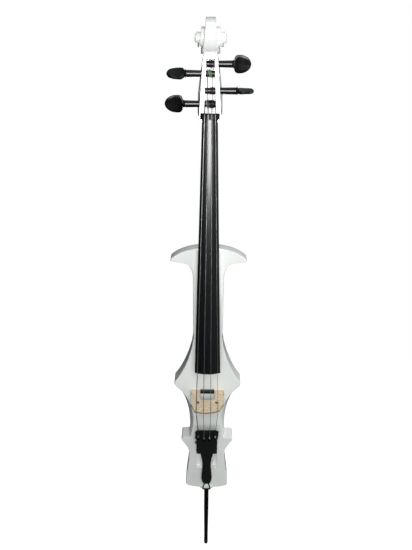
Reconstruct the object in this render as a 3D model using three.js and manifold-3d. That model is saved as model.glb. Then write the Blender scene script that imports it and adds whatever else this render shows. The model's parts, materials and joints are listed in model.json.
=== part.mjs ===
// Electric cello, four strings, upright as it is played. Millimetres, +Z up, front towards -Y.
// The origin is the middle of the body's lower end, on the axis of the endpin.
import * as THREE from 'three';
import { mergeVertices } from 'three/addons/utils/BufferGeometryUtils.js';
import Module from 'manifold-3d';

const wasm = await Module();
wasm.setup();

// Clearances
const fit = 0.3;
const straightShare = 0.001;
const overrun = 3;

// Body: one slab with a knee tab on each side, wide corners, a slim stem and a chest rest
const bodyThickness = 45;
const bodyEdgeRound = 3.5;
const footHalfWidth = 56.2;
const footHeight = 19;
const footFlatHalfWidth = 20;
const kneeWaistHalfWidth = 47;
const kneeWaistHeight = 118;
const tabHalfWidth = 67;
const tabLowHeight = 158;
const tabThickness = 13;
const tabTopHeight = tabLowHeight + tabThickness;
const waistHalfWidth = 44.5;
const waistHeight = 215;
const cornerHalfWidth = 85;
const cornerHeight = 338;
const stemHalfWidth = 35.5;
const stemLowHeight = 505;
const wingThickness = 33;
const wingHalfSpan = 88;
const wingTipHeight = 668;
const wingRise = 35.5;
const wingTopHeight = wingTipHeight + wingRise;
const wingRootDrop = 40;
const stemTopHeight = wingTipHeight - wingRootDrop;
const coreTopDrop = 9.5;
const coreTopHeight = wingTopHeight - coreTopDrop;
const coreTopRound = 18;
const wingCornerRound = 9;

// Bridge: a maple plate that stands on the body's face
const bridgeHeight = 89.5;
const bridgeBaseHeight = 316;
const bridgeHalfWidth = 42;
const bridgeFootHeight = 7;
const bridgeShoulderHeight = 54;
const bridgeCrownHalfWidth = 30;
const bridgeFootThickness = 11;
const bridgeCrownThickness = 3.6;
const bridgeCrownRadius = 65;
const bridgeBassRise = 2;
const archHalfWidth = 18;
const archHeight = 40;
const archRound = 8;
const kidneyRadius = 4.5;
const kidneySide = 23;
const kidneyHeight = 50;

// Strings, from the bass side: C, G, D, A
const stringLength = 676;
const stringRiseAtNut = 12;
const stringRadii = [1, 0.8, 0.65, 0.5];
const nutSpacing = 7.5;
const bridgeSpacing = 17.3;
const tailSpacing = 13.8;
const stringSides = 8;

// Fingerboard, nut and neck, in a frame that follows the underside of the fingerboard
const boardEnd = 576;
const boardSideHeight = 6.5;
const boardCrownRadius = 62;
const boardNutHalfWidth = 16.25;
const boardEndHalfWidth = 30;
const boardEndClearance = 6.2;
const boardArcSteps = 10;
const nutLength = 12;
const nutHalfWidth = 20;
const nutRise = 2;
const neckNutHalfWidth = 15.2;
const neckHeelHalfWidth = 20.5;
const neckNutDepth = 20;
const neckNutLength = 4;
const neckHeelDepth = 26;
const neckLength = 288;
const heelRise = 18;
const heelTopHeight = coreTopHeight + heelRise;
const heelLowHeight = 596;
const heelFootHeight = 578;
const heelHalfWidth = 20.5;
const heelCurve = 6;

// Pegbox and scroll
const pegboxLength = 120;
const pegboxHalfWidth = 23.3;
const pegboxDepth = 42;
const cavityStart = 13.5;
const cavityEnd = 116.5;
const cavityLowHalfWidth = 12.6;
const cavityTopHalfWidth = 8.4;
const cavityDepth = 30;
const scrollDepth = 22;
const scrollHeight = 155.2;
const scrollTopRadius = 40;
const scrollEyeRadius = 9.6;
const eyeRimLength = 2;
const scrollEyeHalfWidth = 32.3;
const scrollRimHalfWidth = 28.4;
const scrollShrink = 0.56;
const scrollStartTurn = -0.25;
const scrollSteps = 20;

// Pegs and the string wound on each
const pegDepth = 15;
const pegReach = 34;
const pegTipRadius = 5.7;
const pegCollarRadius = 7.2;
const pegRingRadius = 8.6;
const pegRingLength = 3;
const pegTipStand = 0.2;
const pegHeadLength = 36;
const pegHeadHalfHeight = 17.9;
const pegHeadHalfThickness = 6.4;
const pegSides = 12;
const boreSides = 16;
const windingGap = 0.7;
const windingSteps = 24;
const windingSides = 6;
const windingBendSteps = 4;
const stringHoleRadius = 1.6;
const stringHoleFloor = 1.5;

// Tailpiece, in a frame that follows the strings behind the bridge
const afterLength = 84;
const tailEndRise = 15.3;
const tailEndHeight = 24.6;
const tailThickness = 14;
const tailHalfWidth = 29.4;
const tailStringDrop = 2.5;
const tailArcSteps = 8;
const tunerPocketHalfWidth = 24.4;
const tunerPocketStart = 4;
const tunerPocketEnd = 32;
const tunerPlateDepth = 9;
const tunerSlotStart = 4.5;
const tunerSlotEnd = 16.5;
const tunerSlotWidth = 6.2;
const leverWidth = 5.4;
const leverPivotDepth = 11.5;
const leverPivotPlace = 8;
const leverForkTop = -2.6;
const leverForkHalfThickness = 1.8;
const leverArmEnd = 28;
const leverArmTop = 10.4;
const leverArmThickness = 2.2;
const leverBossRadius = 2.4;
const pinRadius = 1;
const pinHalfLength = 25.6;
const tunerScrewPlace = 22.5;
const tunerShankRadius = 1.6;
const tunerHeadRadius = 3.7;
const tunerHeadHeight = 4.5;
const tunerHeadTop = -5;
const tunerRim = 0.8;
const tunerSides = 12;
const ballRadius = 2.2;
const ballLength = 3.4;
const ballNeckLength = 3;

// Tail gut and saddle
const gutRadius = 1.75;
const gutSpread = 4.5;
const gutTailDepth = 4.2;
const gutSaddleSpread = 9.5;
const gutBoreDepth = 9;
const gutRound = 2;
const gutCornerSteps = 4;
const gutSides = 8;
const gutLoopSteps = 12;
const saddleHalfWidth = 17;
const saddleHeight = 7;
const saddleDepth = 8;
const saddleProud = 2.5;
const saddleDrop = 1.5;

// Endpin
const pinHoleDepth = 412;
const rodRadius = 6.3;
const rodEndRadius = 5.3;
const rodTaperStart = 95;
const rodTaperEnd = 190;
const rodClearance = 0.35;
const rodBelow = 216;
const rodInside = 185;
const rodSpigotRadius = 3.6;
const rodSpigotLength = 11;
const tipLength = 19;
const tipPointRadius = 2.2;
const tipRadius = 5.5;
const tipRoundShare = 0.8;
const tipRoundLength = 6;
const plugRadius = 11;
const plugDepth = 44;
const plugNeckLength = 6.5;
const plugFlangeRadius = 15;
const plugFlangeLength = 14;
const plugRound = 3;
const roundSides = 24;
const clampScrewRadius = 2.2;
const clampHeadRadius = 8;
const clampHeadLength = 7;
const clampHeadStand = 1;
const clampHeadSides = 16;

// Preamp in its pocket under the tailpiece
const pocketHalfWidth = 27.4;
const pocketLowHeight = 68;
const pocketTopHeight = 188.3;
const pocketDepth = 13;
const caseProud = 14;
const caseLength = 59.3;
const caseLowHeight = pocketTopHeight - caseLength;
const caseWall = 2;
const caseRound = 4;
const boardThickness = 1.6;
const boardMargin = 4;
const chipWidth = 9;
const chipHeight = 12;
const chipThickness = 3;
const capRadius = 3;
const capHeight = 7;
const potWidth = 9;
const potLength = 9;
const potBoreRadius = 2.6;
const knobRadius = 3.3;
const knobLength = 3.6;
const knobStemRadius = 2.1;
const knobStemLength = 5;
const knobSides = 16;
const volumeDrop = 28.3;
const toneDrop = 11.3;
const volumeHeight = pocketTopHeight - volumeDrop;
const toneHeight = pocketTopHeight - toneDrop;
const outputPlace = 10;
const phonesPlace = -10;
const outputBoreRadius = 3.3;
const outputRadius = 5.6;
const outputLength = 24;
const phonesBoreRadius = 1.9;
const phonesRadius = 3.8;
const phonesLength = 15;
const collarProud = 2.4;
const socketNeckShare = 0.8;

// Pickup and leads
const pickupHalfWidth = 17.4;
const pickupHeight = 9;
const pickupThickness = 7;
const pickupRound = 1.5;
const leadRadius = 1.3;
const leadHoleRadius = 2.4;
const leadSides = 8;
const leadCornerShare = 0.3;
const pickupLeadSide = -8;
const leadDepth = 8;
const leadBend = 3;
const batteryLeadSide = 16;
const batteryLeadRise = 4;

// Battery behind its cover in the back
const batteryWidth = 26.5;
const batteryLength = 48.5;
const batteryThickness = 17.5;
const batterySide = 34;
const batteryHeight = 336;
const batteryRoom = 0.5;
const clipThickness = 3.6;
const clipDepth = 13;
const terminalRadius = 3;
const terminalHeight = 2.6;
const coverThickness = 2.5;
const coverMargin = 9;
const coverRound = 6;
const coverScrewInset = 5;
const coverScrewRadius = 1.5;
const coverScrewHeadRadius = 3;
const coverScrewLength = 11;
const coverScrewHeadLength = 1.5;

// Colours
const lacquer = new THREE.MeshStandardMaterial({ color: '#eef0ee', roughness: 0.12, metalness: 0 });
const ebony = new THREE.MeshStandardMaterial({ color: '#151515', roughness: 0.25, metalness: 0 });
const maple = new THREE.MeshStandardMaterial({ color: '#d9c5a3', roughness: 0.5, metalness: 0 });
const bone = new THREE.MeshStandardMaterial({ color: '#f1ede2', roughness: 0.3, metalness: 0 });
const steel = new THREE.MeshStandardMaterial({ color: '#b4b6b8', roughness: 0.3, metalness: 1 });
const blackSteel = new THREE.MeshStandardMaterial({ color: '#26282a', roughness: 0.35, metalness: 0.9 });
const plastic = new THREE.MeshStandardMaterial({ color: '#17181a', roughness: 0.5, metalness: 0 });
const rubber = new THREE.MeshStandardMaterial({ color: '#1b1b1b', roughness: 0.8, metalness: 0 });
const laminate = new THREE.MeshStandardMaterial({ color: '#2e6a44', roughness: 0.5, metalness: 0 });
const silkColors = ['#1c1a1f', '#4f7a56', '#3d2b45', '#4a2024'];
const silks = silkColors.map((color) => new THREE.MeshStandardMaterial({ color, roughness: 0.8 }));

// Closed meshes to solids for cuts and joins, and back
function weld(geometry) {
  const bare = geometry.clone();
  bare.deleteAttribute('normal');
  bare.deleteAttribute('uv');
  return mergeVertices(bare);
}

function volume(geometry) {
  const place = geometry.attributes.position;
  const corners = [new THREE.Vector3(), new THREE.Vector3(), new THREE.Vector3()];
  let sum = 0;
  for (let i = 0; i < geometry.index.count; i += 3) {
    corners.forEach((corner, k) => corner.fromBufferAttribute(place, geometry.index.getX(i + k)));
    sum += corners[0].dot(corners[1].clone().cross(corners[2])) / 6;
  }
  return sum;
}

function outward(geometry) {
  const welded = weld(geometry);
  const kept = [];
  for (let i = 0; i < welded.index.count; i += 3) {
    const corners = [0, 1, 2].map((k) => welded.index.getX(i + k));
    if (new Set(corners).size === 3) kept.push(...corners);
  }
  welded.setIndex(kept);
  if (volume(welded) > 0) return welded;
  const index = welded.index;
  for (let i = 0; i < index.count; i += 3) {
    const second = index.getX(i + 1);
    index.setX(i + 1, index.getX(i + 2));
    index.setX(i + 2, second);
  }
  return welded;
}

function toSolid(geometry) {
  const welded = outward(geometry);
  const vertProperties = new Float32Array(welded.attributes.position.array);
  const triVerts = new Uint32Array(welded.index.array);
  return new wasm.Manifold(new wasm.Mesh({ numProp: 3, vertProperties, triVerts }));
}

function toGeometry(solid) {
  const mesh = solid.getMesh();
  const geometry = new THREE.BufferGeometry();
  geometry.setAttribute('position', new THREE.BufferAttribute(mesh.vertProperties, 3));
  geometry.setIndex(new THREE.BufferAttribute(mesh.triVerts, 1));
  return geometry;
}

function join(...geometries) {
  return toGeometry(geometries.map(toSolid).reduce((whole, next) => whole.add(next)));
}

function common(geometry, other) {
  return toGeometry(toSolid(geometry).intersect(toSolid(other)));
}

function cut(geometry, ...tools) {
  return toGeometry(tools.map(toSolid).reduce((whole, next) => whole.subtract(next), toSolid(geometry)));
}

// A box given by its two corners
function block(x0, x1, y0, y1, z0, z1) {
  const geometry = new THREE.BoxGeometry(x1 - x0, y1 - y0, z1 - z0);
  return geometry.translate((x0 + x1) / 2, (y0 + y1) / 2, (z0 + z1) / 2);
}

// A round solid about Z from pairs of radius and height, which start and end on the axis
function turned(profile, sides = roundSides) {
  const points = profile.map(([radius, height]) => new THREE.Vector2(radius, height));
  return new THREE.LatheGeometry(points, sides).rotateX(Math.PI / 2);
}

function rod(radius, z0, z1, sides = roundSides) {
  return turned([[0, z0], [radius, z0], [radius, z1], [0, z1]], sides);
}

// A round rod along X or Y between two places
function rodAlongX(radius, x0, x1, y, z, sides = roundSides) {
  return rod(radius, x0, x1, sides).rotateY(Math.PI / 2).translate(0, y, z);
}

function rodAlongY(radius, y0, y1, x, z, sides = roundSides) {
  return rod(radius, -y1, -y0, sides).rotateX(Math.PI / 2).translate(x, 0, z);
}

// A skin over rings of points that all have the same count and bulge outwards
function loft(rings) {
  const count = rings[0].length;
  const index = [];
  for (let r = 0; r + 1 < rings.length; r += 1) {
    for (let i = 0; i < count; i += 1) {
      const a = r * count + i;
      const b = r * count + (i + 1) % count;
      index.push(a, b, b + count, a, b + count, a + count);
    }
  }
  const top = (rings.length - 1) * count;
  for (let i = 1; i + 1 < count; i += 1) {
    index.push(0, i + 1, i, top, top + i, top + i + 1);
  }
  const geometry = new THREE.BufferGeometry().setFromPoints(rings.flat());
  geometry.setIndex(index);
  return outward(geometry);
}

// A path that stops at each of its points, so that a tube bends only there
class Route extends THREE.Curve {
  constructor(points) {
    super();
    this.points = points;
  }

  getPoint(share, target = new THREE.Vector3()) {
    const last = this.points.length - 1;
    const index = Math.min(Math.floor(share * last), last - 1);
    return target.lerpVectors(this.points[index], this.points[index + 1], share * last - index);
  }

  getPointAt(share, target) {
    return this.getPoint(share, target);
  }

  getTangentAt(share, target = new THREE.Vector3()) {
    const last = this.points.length - 1;
    const index = Math.round(share * last);
    target.set(0, 0, 0);
    [index - 1, index].forEach((start) => {
      if (start < 0 || start >= last) return;
      target.add(this.points[start + 1].clone().sub(this.points[start]).normalize());
    });
    return target.normalize();
  }
}

function tube(points, radius, sides) {
  const section = new THREE.Shape();
  for (let i = 0; i < sides; i += 1) {
    const angle = 2 * Math.PI * i / sides;
    const [x, y] = [radius * Math.cos(angle), radius * Math.sin(angle)];
    if (i === 0) section.moveTo(x, y);
    else section.lineTo(x, y);
  }
  const settings = { steps: points.length - 1, bevelEnabled: false, extrudePath: new Route(points) };
  return outward(new THREE.ExtrudeGeometry(section, settings));
}

// A curve from one point to the next, its two handles as shares of the step between them
function bend(path, from, to, shares) {
  const [x1, z1, x2, z2] = shares;
  const x = (share) => from[0] + (to[0] - from[0]) * share;
  const z = (share) => from[1] + (to[1] - from[1]) * share;
  path.bezierCurveTo(x(x1), z(z1), x(x2), z(z2), to[0], to[1]);
}

// A slab with rounded edges from the right half of its outline, front at one Y and back at the other
function slab(half, curveSteps, front, back, edgeRound) {
  const right = half.getPoints(curveSteps);
  const left = right.slice().reverse().map((point) => new THREE.Vector2(-point.x, point.y));
  const apart = [...right, ...left].filter((point, i, all) => {
    return point.distanceTo(all[(i + 1) % all.length]) > fit;
  });
  const outline = apart.filter((point, i, all) => {
    const before = point.clone().sub(all.at(i - 1)).normalize();
    const after = all[(i + 1) % all.length].clone().sub(point).normalize();
    return Math.abs(before.cross(after)) > straightShare;
  });
  const settings = {
    depth: back - front - 2 * edgeRound,
    steps: 1,
    bevelEnabled: edgeRound > 0,
    bevelSize: edgeRound,
    bevelThickness: edgeRound,
    bevelOffset: -edgeRound,
    bevelSegments: 2,
  };
  const geometry = new THREE.ExtrudeGeometry(new THREE.Shape(outline), settings);
  return geometry.translate(0, 0, edgeRound - back).rotateX(Math.PI / 2);
}

// Frames
const frontY = -bodyThickness / 2;
const backY = bodyThickness / 2;
const crownY = frontY - bridgeHeight;
const nutY = frontY - stringRiseAtNut;
const nutZ = bridgeBaseHeight + Math.sqrt(stringLength ** 2 - (crownY - nutY) ** 2);
const boardSag = (halfWidth) => boardCrownRadius - Math.sqrt(boardCrownRadius ** 2 - halfWidth ** 2);
const boardCrown = (halfWidth) => boardSideHeight + boardSag(halfWidth);
const stringHeightAtNut = boardCrown(boardNutHalfWidth) + nutRise;
const stringHeightAtEnd = boardCrown(boardEndHalfWidth) + boardEndClearance;
const stringTilt = Math.atan2(nutY - crownY, nutZ - bridgeBaseHeight);
const neckTilt = stringTilt - Math.asin((stringHeightAtEnd - stringHeightAtNut) / boardEnd);

const cello = new THREE.Group();

const neckFrame = new THREE.Group();
neckFrame.position.set(0, nutY + stringHeightAtNut * Math.cos(neckTilt), nutZ - stringHeightAtNut * Math.sin(neckTilt));
neckFrame.rotation.x = -neckTilt;
cello.add(neckFrame);

const tailEndY = frontY - tailEndRise;
const tailTilt = Math.atan2(tailEndY - crownY, bridgeBaseHeight - tailEndHeight);
const tailLength = Math.hypot(tailEndY - crownY, bridgeBaseHeight - tailEndHeight) - afterLength;
const tailFrame = new THREE.Group();
tailFrame.position.set(0, crownY + afterLength * Math.sin(tailTilt), bridgeBaseHeight - afterLength * Math.cos(tailTilt));
tailFrame.rotation.x = tailTilt;
cello.add(tailFrame);
cello.updateMatrixWorld(true);

const inNeck = (x, y, z) => neckFrame.localToWorld(new THREE.Vector3(x, y, z));
const inTail = (x, y, place) => tailFrame.localToWorld(new THREE.Vector3(x, y, -place));

function addPiece(parent, name, geometry, material) {
  const mesh = new THREE.Mesh(outward(geometry), material);
  mesh.geometry.computeVertexNormals();
  mesh.name = name;
  parent.add(mesh);
  return mesh;
}

// Body
const footRoundShares = [0.5, 0.12, 0.95, 0.5];
const flareShares = [0.18, 0.35, 0.95, 0.65];
const tabUnderShares = [0, 0.45, 0.5, 0.6];
const waistShares = [0.05, 0.4, 0.4, 0.75];
const cornerShares = [0.178, 0.043, 1.189, 0.531];
const wingRootShares = [0.02, 0.45, 0.35, 0.95];
const wingTopShares = [0.12, 0.36, 0.4, 1];
const footCornerShare = 0.42;
const cornerRoundShare = 0.045;
const tabRoundShare = 0.5;
const wingFilletShare = 0.38;
const wingFilletDropShare = 0.1;
const wingTipRiseShare = 0.3;
const bodyCurveSteps = 7;

function bodyCore() {
  const half = new THREE.Path();
  half.moveTo(0, 0);
  half.lineTo(footFlatHalfWidth, 0);
  const corner = [footHalfWidth, footHeight * (1 - footCornerShare)];
  bend(half, [footFlatHalfWidth, 0], corner, footRoundShares);
  half.lineTo(footHalfWidth, footHeight);
  bend(half, [footHalfWidth, footHeight], [kneeWaistHalfWidth, kneeWaistHeight], flareShares);
  const tabHeight = tabTopHeight - tabLowHeight;
  const tabRound = tabHeight * tabRoundShare;
  const tabLow = [tabHalfWidth - tabRound, tabLowHeight - tabRound];
  bend(half, [kneeWaistHalfWidth, kneeWaistHeight], tabLow, tabUnderShares);
  half.quadraticCurveTo(tabHalfWidth, tabLowHeight, tabHalfWidth, tabLowHeight + tabRound);
  half.quadraticCurveTo(tabHalfWidth, tabTopHeight, tabHalfWidth - tabRound, tabTopHeight);
  half.lineTo(waistHalfWidth + tabRound, tabTopHeight);
  half.quadraticCurveTo(waistHalfWidth, tabTopHeight, waistHalfWidth, tabTopHeight + tabRound);
  half.lineTo(waistHalfWidth, waistHeight);
  const cornerRound = cornerHalfWidth * cornerRoundShare;
  const cornerLow = [cornerHalfWidth - cornerRound, cornerHeight - 2 * cornerRound];
  bend(half, [waistHalfWidth, waistHeight], cornerLow, waistShares);
  half.quadraticCurveTo(cornerHalfWidth, cornerHeight, cornerLow[0], cornerHeight + 2 * cornerRound);
  bend(half, [cornerLow[0], cornerHeight + 2 * cornerRound], [stemHalfWidth, stemLowHeight], cornerShares);
  half.lineTo(stemHalfWidth, coreTopHeight - coreTopRound);
  half.quadraticCurveTo(stemHalfWidth, coreTopHeight, stemHalfWidth - coreTopRound, coreTopHeight);
  half.lineTo(0, coreTopHeight);
  return slab(half, bodyCurveSteps, frontY, backY, bodyEdgeRound);
}

function chestRest() {
  const half = new THREE.Path();
  const filletEnd = [
    stemHalfWidth + (wingHalfSpan - stemHalfWidth) * wingFilletShare,
    wingTipHeight - (wingTopHeight - wingTipHeight) * wingFilletDropShare,
  ];
  half.moveTo(0, stemTopHeight);
  half.lineTo(stemHalfWidth, stemTopHeight);
  bend(half, [stemHalfWidth, stemTopHeight], filletEnd, wingRootShares);
  half.lineTo(wingHalfSpan - wingCornerRound, filletEnd[1] + wingCornerRound * wingTipRiseShare);
  const tipEnd = [wingHalfSpan - wingCornerRound * wingTipRiseShare, wingTipHeight + wingCornerRound];
  half.quadraticCurveTo(wingHalfSpan + wingCornerRound * wingTipRiseShare, wingTipHeight, tipEnd[0], tipEnd[1]);
  bend(half, tipEnd, [0, wingTopHeight], wingTopShares);
  return slab(half, bodyCurveSteps, frontY, frontY + wingThickness, bodyEdgeRound);
}

// Battery bay, endpin bore and lead holes
const boreRadius = rodRadius + rodClearance;
const clipRoom = clipThickness + terminalHeight;
const bayLow = batteryHeight - batteryLength / 2 - clipRoom - 2 * batteryRoom;
const bayTop = batteryHeight + batteryLength / 2 + batteryRoom;
const bayMiddle = (bayLow + bayTop) / 2;
const bayFloorY = backY - coverThickness - 2 * fit - batteryThickness - fit;
const bayHalfWidth = batteryWidth / 2 + batteryRoom;
const coverHalfWidth = bayHalfWidth + coverMargin;
const coverHalfHeight = (bayTop - bayLow) / 2 + coverMargin;
const coverScrewPlaces = [[-1, -1], [1, -1], [-1, 1], [1, 1]].map(([side, end]) => [
  batterySide + side * (coverHalfWidth - coverScrewInset),
  bayMiddle + end * (coverHalfHeight - coverScrewInset),
]);
const leadY = frontY + leadDepth;
const pickupPlace = bridgeBaseHeight + pickupThickness / 2;
const batteryLeadTop = [batterySide - bayHalfWidth + 2 * leadHoleRadius, bayFloorY + batteryLeadRise, bayLow];

function roundedPlate(halfWidth, halfHeight, round, y0, y1, x, z) {
  const shape = new THREE.Shape();
  shape.moveTo(-halfWidth + round, -halfHeight);
  shape.lineTo(halfWidth - round, -halfHeight);
  shape.quadraticCurveTo(halfWidth, -halfHeight, halfWidth, -halfHeight + round);
  shape.lineTo(halfWidth, halfHeight - round);
  shape.quadraticCurveTo(halfWidth, halfHeight, halfWidth - round, halfHeight);
  shape.lineTo(-halfWidth + round, halfHeight);
  shape.quadraticCurveTo(-halfWidth, halfHeight, -halfWidth, halfHeight - round);
  shape.lineTo(-halfWidth, -halfHeight + round);
  shape.quadraticCurveTo(-halfWidth, -halfHeight, -halfWidth + round, -halfHeight);
  const plate = new THREE.ExtrudeGeometry(shape, { depth: y1 - y0, bevelEnabled: false, curveSegments: 3 });
  return plate.rotateX(Math.PI / 2).translate(x, y1, z);
}

// A round rod between any two points
function strut(radius, from, to, sides) {
  const [start, end] = [new THREE.Vector3(...from), new THREE.Vector3(...to)];
  const along = end.clone().sub(start);
  const turn = new THREE.Quaternion().setFromUnitVectors(new THREE.Vector3(0, 0, 1), along.clone().normalize());
  const bar = rod(radius, 0, along.length(), sides);
  return bar.applyQuaternion(turn).translate(start.x, start.y, start.z);
}

function batteryLeadPoint(height) {
  const share = (height - pocketTopHeight) / (bayLow - pocketTopHeight);
  const [x, y] = batteryLeadTop;
  return [batteryLeadSide + (x - batteryLeadSide) * share, leadY + (y - leadY) * share, height];
}

function bodyPiece() {
  const whole = join(bodyCore(), chestRest());
  return cut(
    whole,
    block(-pocketHalfWidth, pocketHalfWidth, frontY - overrun, frontY + pocketDepth, pocketLowHeight, pocketTopHeight),
    rod(boreRadius, -overrun, pinHoleDepth),
    rod(plugRadius + fit, -overrun, plugDepth + fit),
    block(-saddleHalfWidth - fit, saddleHalfWidth + fit, frontY - overrun, frontY + saddleDepth + fit,
      -overrun, saddleHeight + fit),
    block(batterySide - bayHalfWidth, batterySide + bayHalfWidth, bayFloorY, backY + overrun, bayLow, bayTop),
    roundedPlate(coverHalfWidth + fit, coverHalfHeight + fit, coverRound, backY - coverThickness - fit,
      backY + overrun, batterySide, bayMiddle),
    ...coverScrewPlaces.map(([x, z]) => rodAlongY(coverScrewRadius + fit, backY - coverScrewLength - 2 * fit,
      backY + overrun, x, z, tunerSides)),
    rodAlongY(leadHoleRadius, frontY - overrun, leadY, pickupLeadSide, pickupPlace, tunerSides),
    rod(leadHoleRadius, pocketTopHeight - overrun, pickupPlace + leadHoleRadius, tunerSides)
      .translate(pickupLeadSide, leadY, 0),
    strut(leadHoleRadius, batteryLeadPoint(pocketTopHeight - overrun), batteryLeadPoint(bayLow + overrun),
      tunerSides),
  );
}
addPiece(cello, 'body', bodyPiece(), lacquer);

// Neck, pegbox and scroll are one carved piece. Each station is a place, the half width at the pegs, front and
// back, and how much wider it is at the back
const pegboxStationShares = [
  [-0.0833, 0.6609, 0, 0.4881, 1],
  [-0.0083, 0.794, 0, 0.6429, 1.02],
  [0.0333, 0.97, 0, 0.8571, 1.08],
  [0.1, 1, 0, 1, 1.12],
  [0.4333, 0.8841, 0.0333, 0.9524, 1.24],
  [0.7667, 0.7639, 0.0667, 0.8333, 1.14],
  [1, 0.6609, 0.0952, 0.8095, 1.04],
  [1.15, 0.4936, 0.2381, 1.1667, 1],
  [1.2833, 0.4206, 0.381, 1.3333, 1],
];
const pegboxStations = pegboxStationShares.map(([place, halfWidth, front, back, flare]) => ({
  place: pegboxLength * place,
  halfWidth: pegboxHalfWidth * halfWidth,
  front: pegboxDepth * front,
  back: pegboxDepth * back,
  backHalfWidth: pegboxHalfWidth * halfWidth * flare,
}));
const pegboxFrontShare = 0.95;
const pegboxWaistShare = 0.4;
const pegboxEdgeShare = 0.3;
const neckStations = [
  { place: -neckLength, halfWidth: neckHeelHalfWidth, depth: neckHeelDepth },
  { place: -neckNutLength, halfWidth: neckNutHalfWidth, depth: neckNutDepth },
];
const neckBackShares = [[1, 0], [1, 0.3], [0.85, 0.62], [0.5, 0.9], [0, 1]];
const scrollWidthShares = [0.3521, 0.347, 0.4366, 0.6831, 0.6761, 0.6725, 0.7465, 0.9155, 0.9507, 0.9824, 1.0211];
const quartersPerTurn = 4;
const eyeRimShare = 0.85;
const eyeSides = 16;

function ringAt(pairs, z) {
  const mirrored = pairs.slice().reverse().filter(([x]) => x > 0).map(([x, y]) => [-x, y]);
  return [...pairs, ...mirrored].map(([x, y]) => new THREE.Vector3(x, y, z));
}

function pegboxBlock() {
  return loft(pegboxStations.map(({ place, halfWidth, front, back, backHalfWidth }) => {
    const edge = halfWidth * pegboxEdgeShare;
    const waist = front + (back - front) * pegboxWaistShare;
    const flank = [[halfWidth * pegboxFrontShare, front + fit], [halfWidth, waist]];
    return ringAt([...flank, [backHalfWidth, back - edge], [backHalfWidth - edge, back]], place);
  }));
}

function neckShaft() {
  return loft(neckStations.map(({ place, halfWidth, depth }) => {
    return ringAt(neckBackShares.map(([x, y]) => [halfWidth * x, fit + depth * y]), place);
  }));
}

function neckHeel() {
  const low = inNeck(0, fit, heelFootHeight - nutZ);
  const high = inNeck(0, fit, heelTopHeight - nutZ);
  const shape = new THREE.Shape();
  shape.moveTo(low.y, low.z);
  shape.quadraticCurveTo(frontY - heelCurve, heelFootHeight, frontY - fit, heelLowHeight);
  shape.lineTo(frontY - fit, coreTopHeight + fit);
  shape.lineTo(high.y + neckHeelDepth, high.z);
  shape.lineTo(high.y, high.z);
  const settings = { depth: 2 * heelHalfWidth, bevelEnabled: false, curveSegments: 4 };
  const heel = new THREE.ExtrudeGeometry(shape, settings).translate(0, 0, -heelHalfWidth);
  const turn = new THREE.Matrix4().makeBasis(
    new THREE.Vector3(0, 1, 0),
    new THREE.Vector3(0, 0, 1),
    new THREE.Vector3(1, 0, 0),
  );
  return heel.applyMatrix4(turn).applyMatrix4(neckFrame.matrixWorld.clone().invert());
}

function scrollHalfWidth(turn) {
  const place = (turn - scrollStartTurn) * quartersPerTurn;
  const index = Math.min(Math.floor(place), scrollWidthShares.length - 2);
  const [low, high] = [scrollWidthShares[index], scrollWidthShares[index + 1]];
  return scrollRimHalfWidth * (low + (high - low) * (place - index));
}

// The scroll is a spiral stair on each side that climbs turn by turn to the eye
function scrollStair() {
  const total = (scrollWidthShares.length - 1) * scrollSteps / quartersPerTurn;
  const rim = [];
  for (let i = 0; i <= total; i += 1) {
    const turn = scrollStartTurn + i / scrollSteps;
    const radius = scrollTopRadius * scrollShrink ** turn;
    const angle = 2 * Math.PI * turn;
    rim.push({
      y: scrollDepth - radius * Math.sin(angle),
      z: scrollHeight + radius * Math.cos(angle),
      halfWidth: scrollHalfWidth(turn),
    });
  }
  const points = [];
  const index = [];
  const at = (place, halfWidth, side) => {
    points.push(new THREE.Vector3(side * halfWidth, place.y, place.z));
    return points.length - 1;
  };
  const face = (...corners) => {
    for (let k = 1; k + 1 < corners.length; k += 1) index.push(corners[0], corners[k], corners[k + 1]);
  };
  const eye = { y: scrollDepth, z: scrollHeight };
  const last = rim.length - 1;
  [1, -1].forEach((side) => {
    const turnFace = (...corners) => face(...(side > 0 ? corners : corners.slice().reverse()));
    for (let i = 0; i < last; i += 1) {
      const [here, next] = [rim[i], rim[i + 1]];
      const outer = [at(here, here.halfWidth, side), at(next, next.halfWidth, side)];
      if (i + scrollSteps < last) {
        const [inner, innerNext] = [rim[i + scrollSteps], rim[i + scrollSteps + 1]];
        const foot = [at(inner, here.halfWidth, side), at(innerNext, next.halfWidth, side)];
        const top = [at(inner, inner.halfWidth, side), at(innerNext, innerNext.halfWidth, side)];
        turnFace(outer[0], outer[1], foot[1]);
        turnFace(outer[0], foot[1], foot[0]);
        turnFace(foot[0], foot[1], top[1]);
        turnFace(foot[0], top[1], top[0]);
      } else {
        turnFace(outer[0], outer[1], at(eye, rim[last].halfWidth, side));
      }
    }
    const [capStart, capEnd] = [rim[last - scrollSteps], rim[last]];
    turnFace(
      at(capStart, capStart.halfWidth, side),
      at(eye, capEnd.halfWidth, side),
      at(capEnd, capEnd.halfWidth, side),
      at(capEnd, capStart.halfWidth, side),
    );
  });
  for (let i = 0; i < scrollSteps; i += 1) {
    const [here, next] = [rim[i], rim[i + 1]];
    const outer = [at(here, here.halfWidth, 1), at(here, here.halfWidth, -1)];
    const far = [at(next, next.halfWidth, -1), at(next, next.halfWidth, 1)];
    if (i + 1 < scrollSteps) face(outer[0], outer[1], far[0], far[1]);
    else {
      face(outer[0], outer[1], far[0], at(next, rim[0].halfWidth, -1));
      face(outer[0], at(next, rim[0].halfWidth, -1), at(next, rim[0].halfWidth, 1), far[1]);
    }
  }
  const inside = rim[scrollSteps];
  face(
    at(rim[0], rim[0].halfWidth, -1),
    at(rim[0], rim[0].halfWidth, 1),
    at(inside, rim[0].halfWidth, 1),
    at(inside, rim[0].halfWidth, -1),
  );
  const geometry = new THREE.BufferGeometry().setFromPoints(points);
  geometry.setIndex(index);
  return geometry;
}

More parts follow.
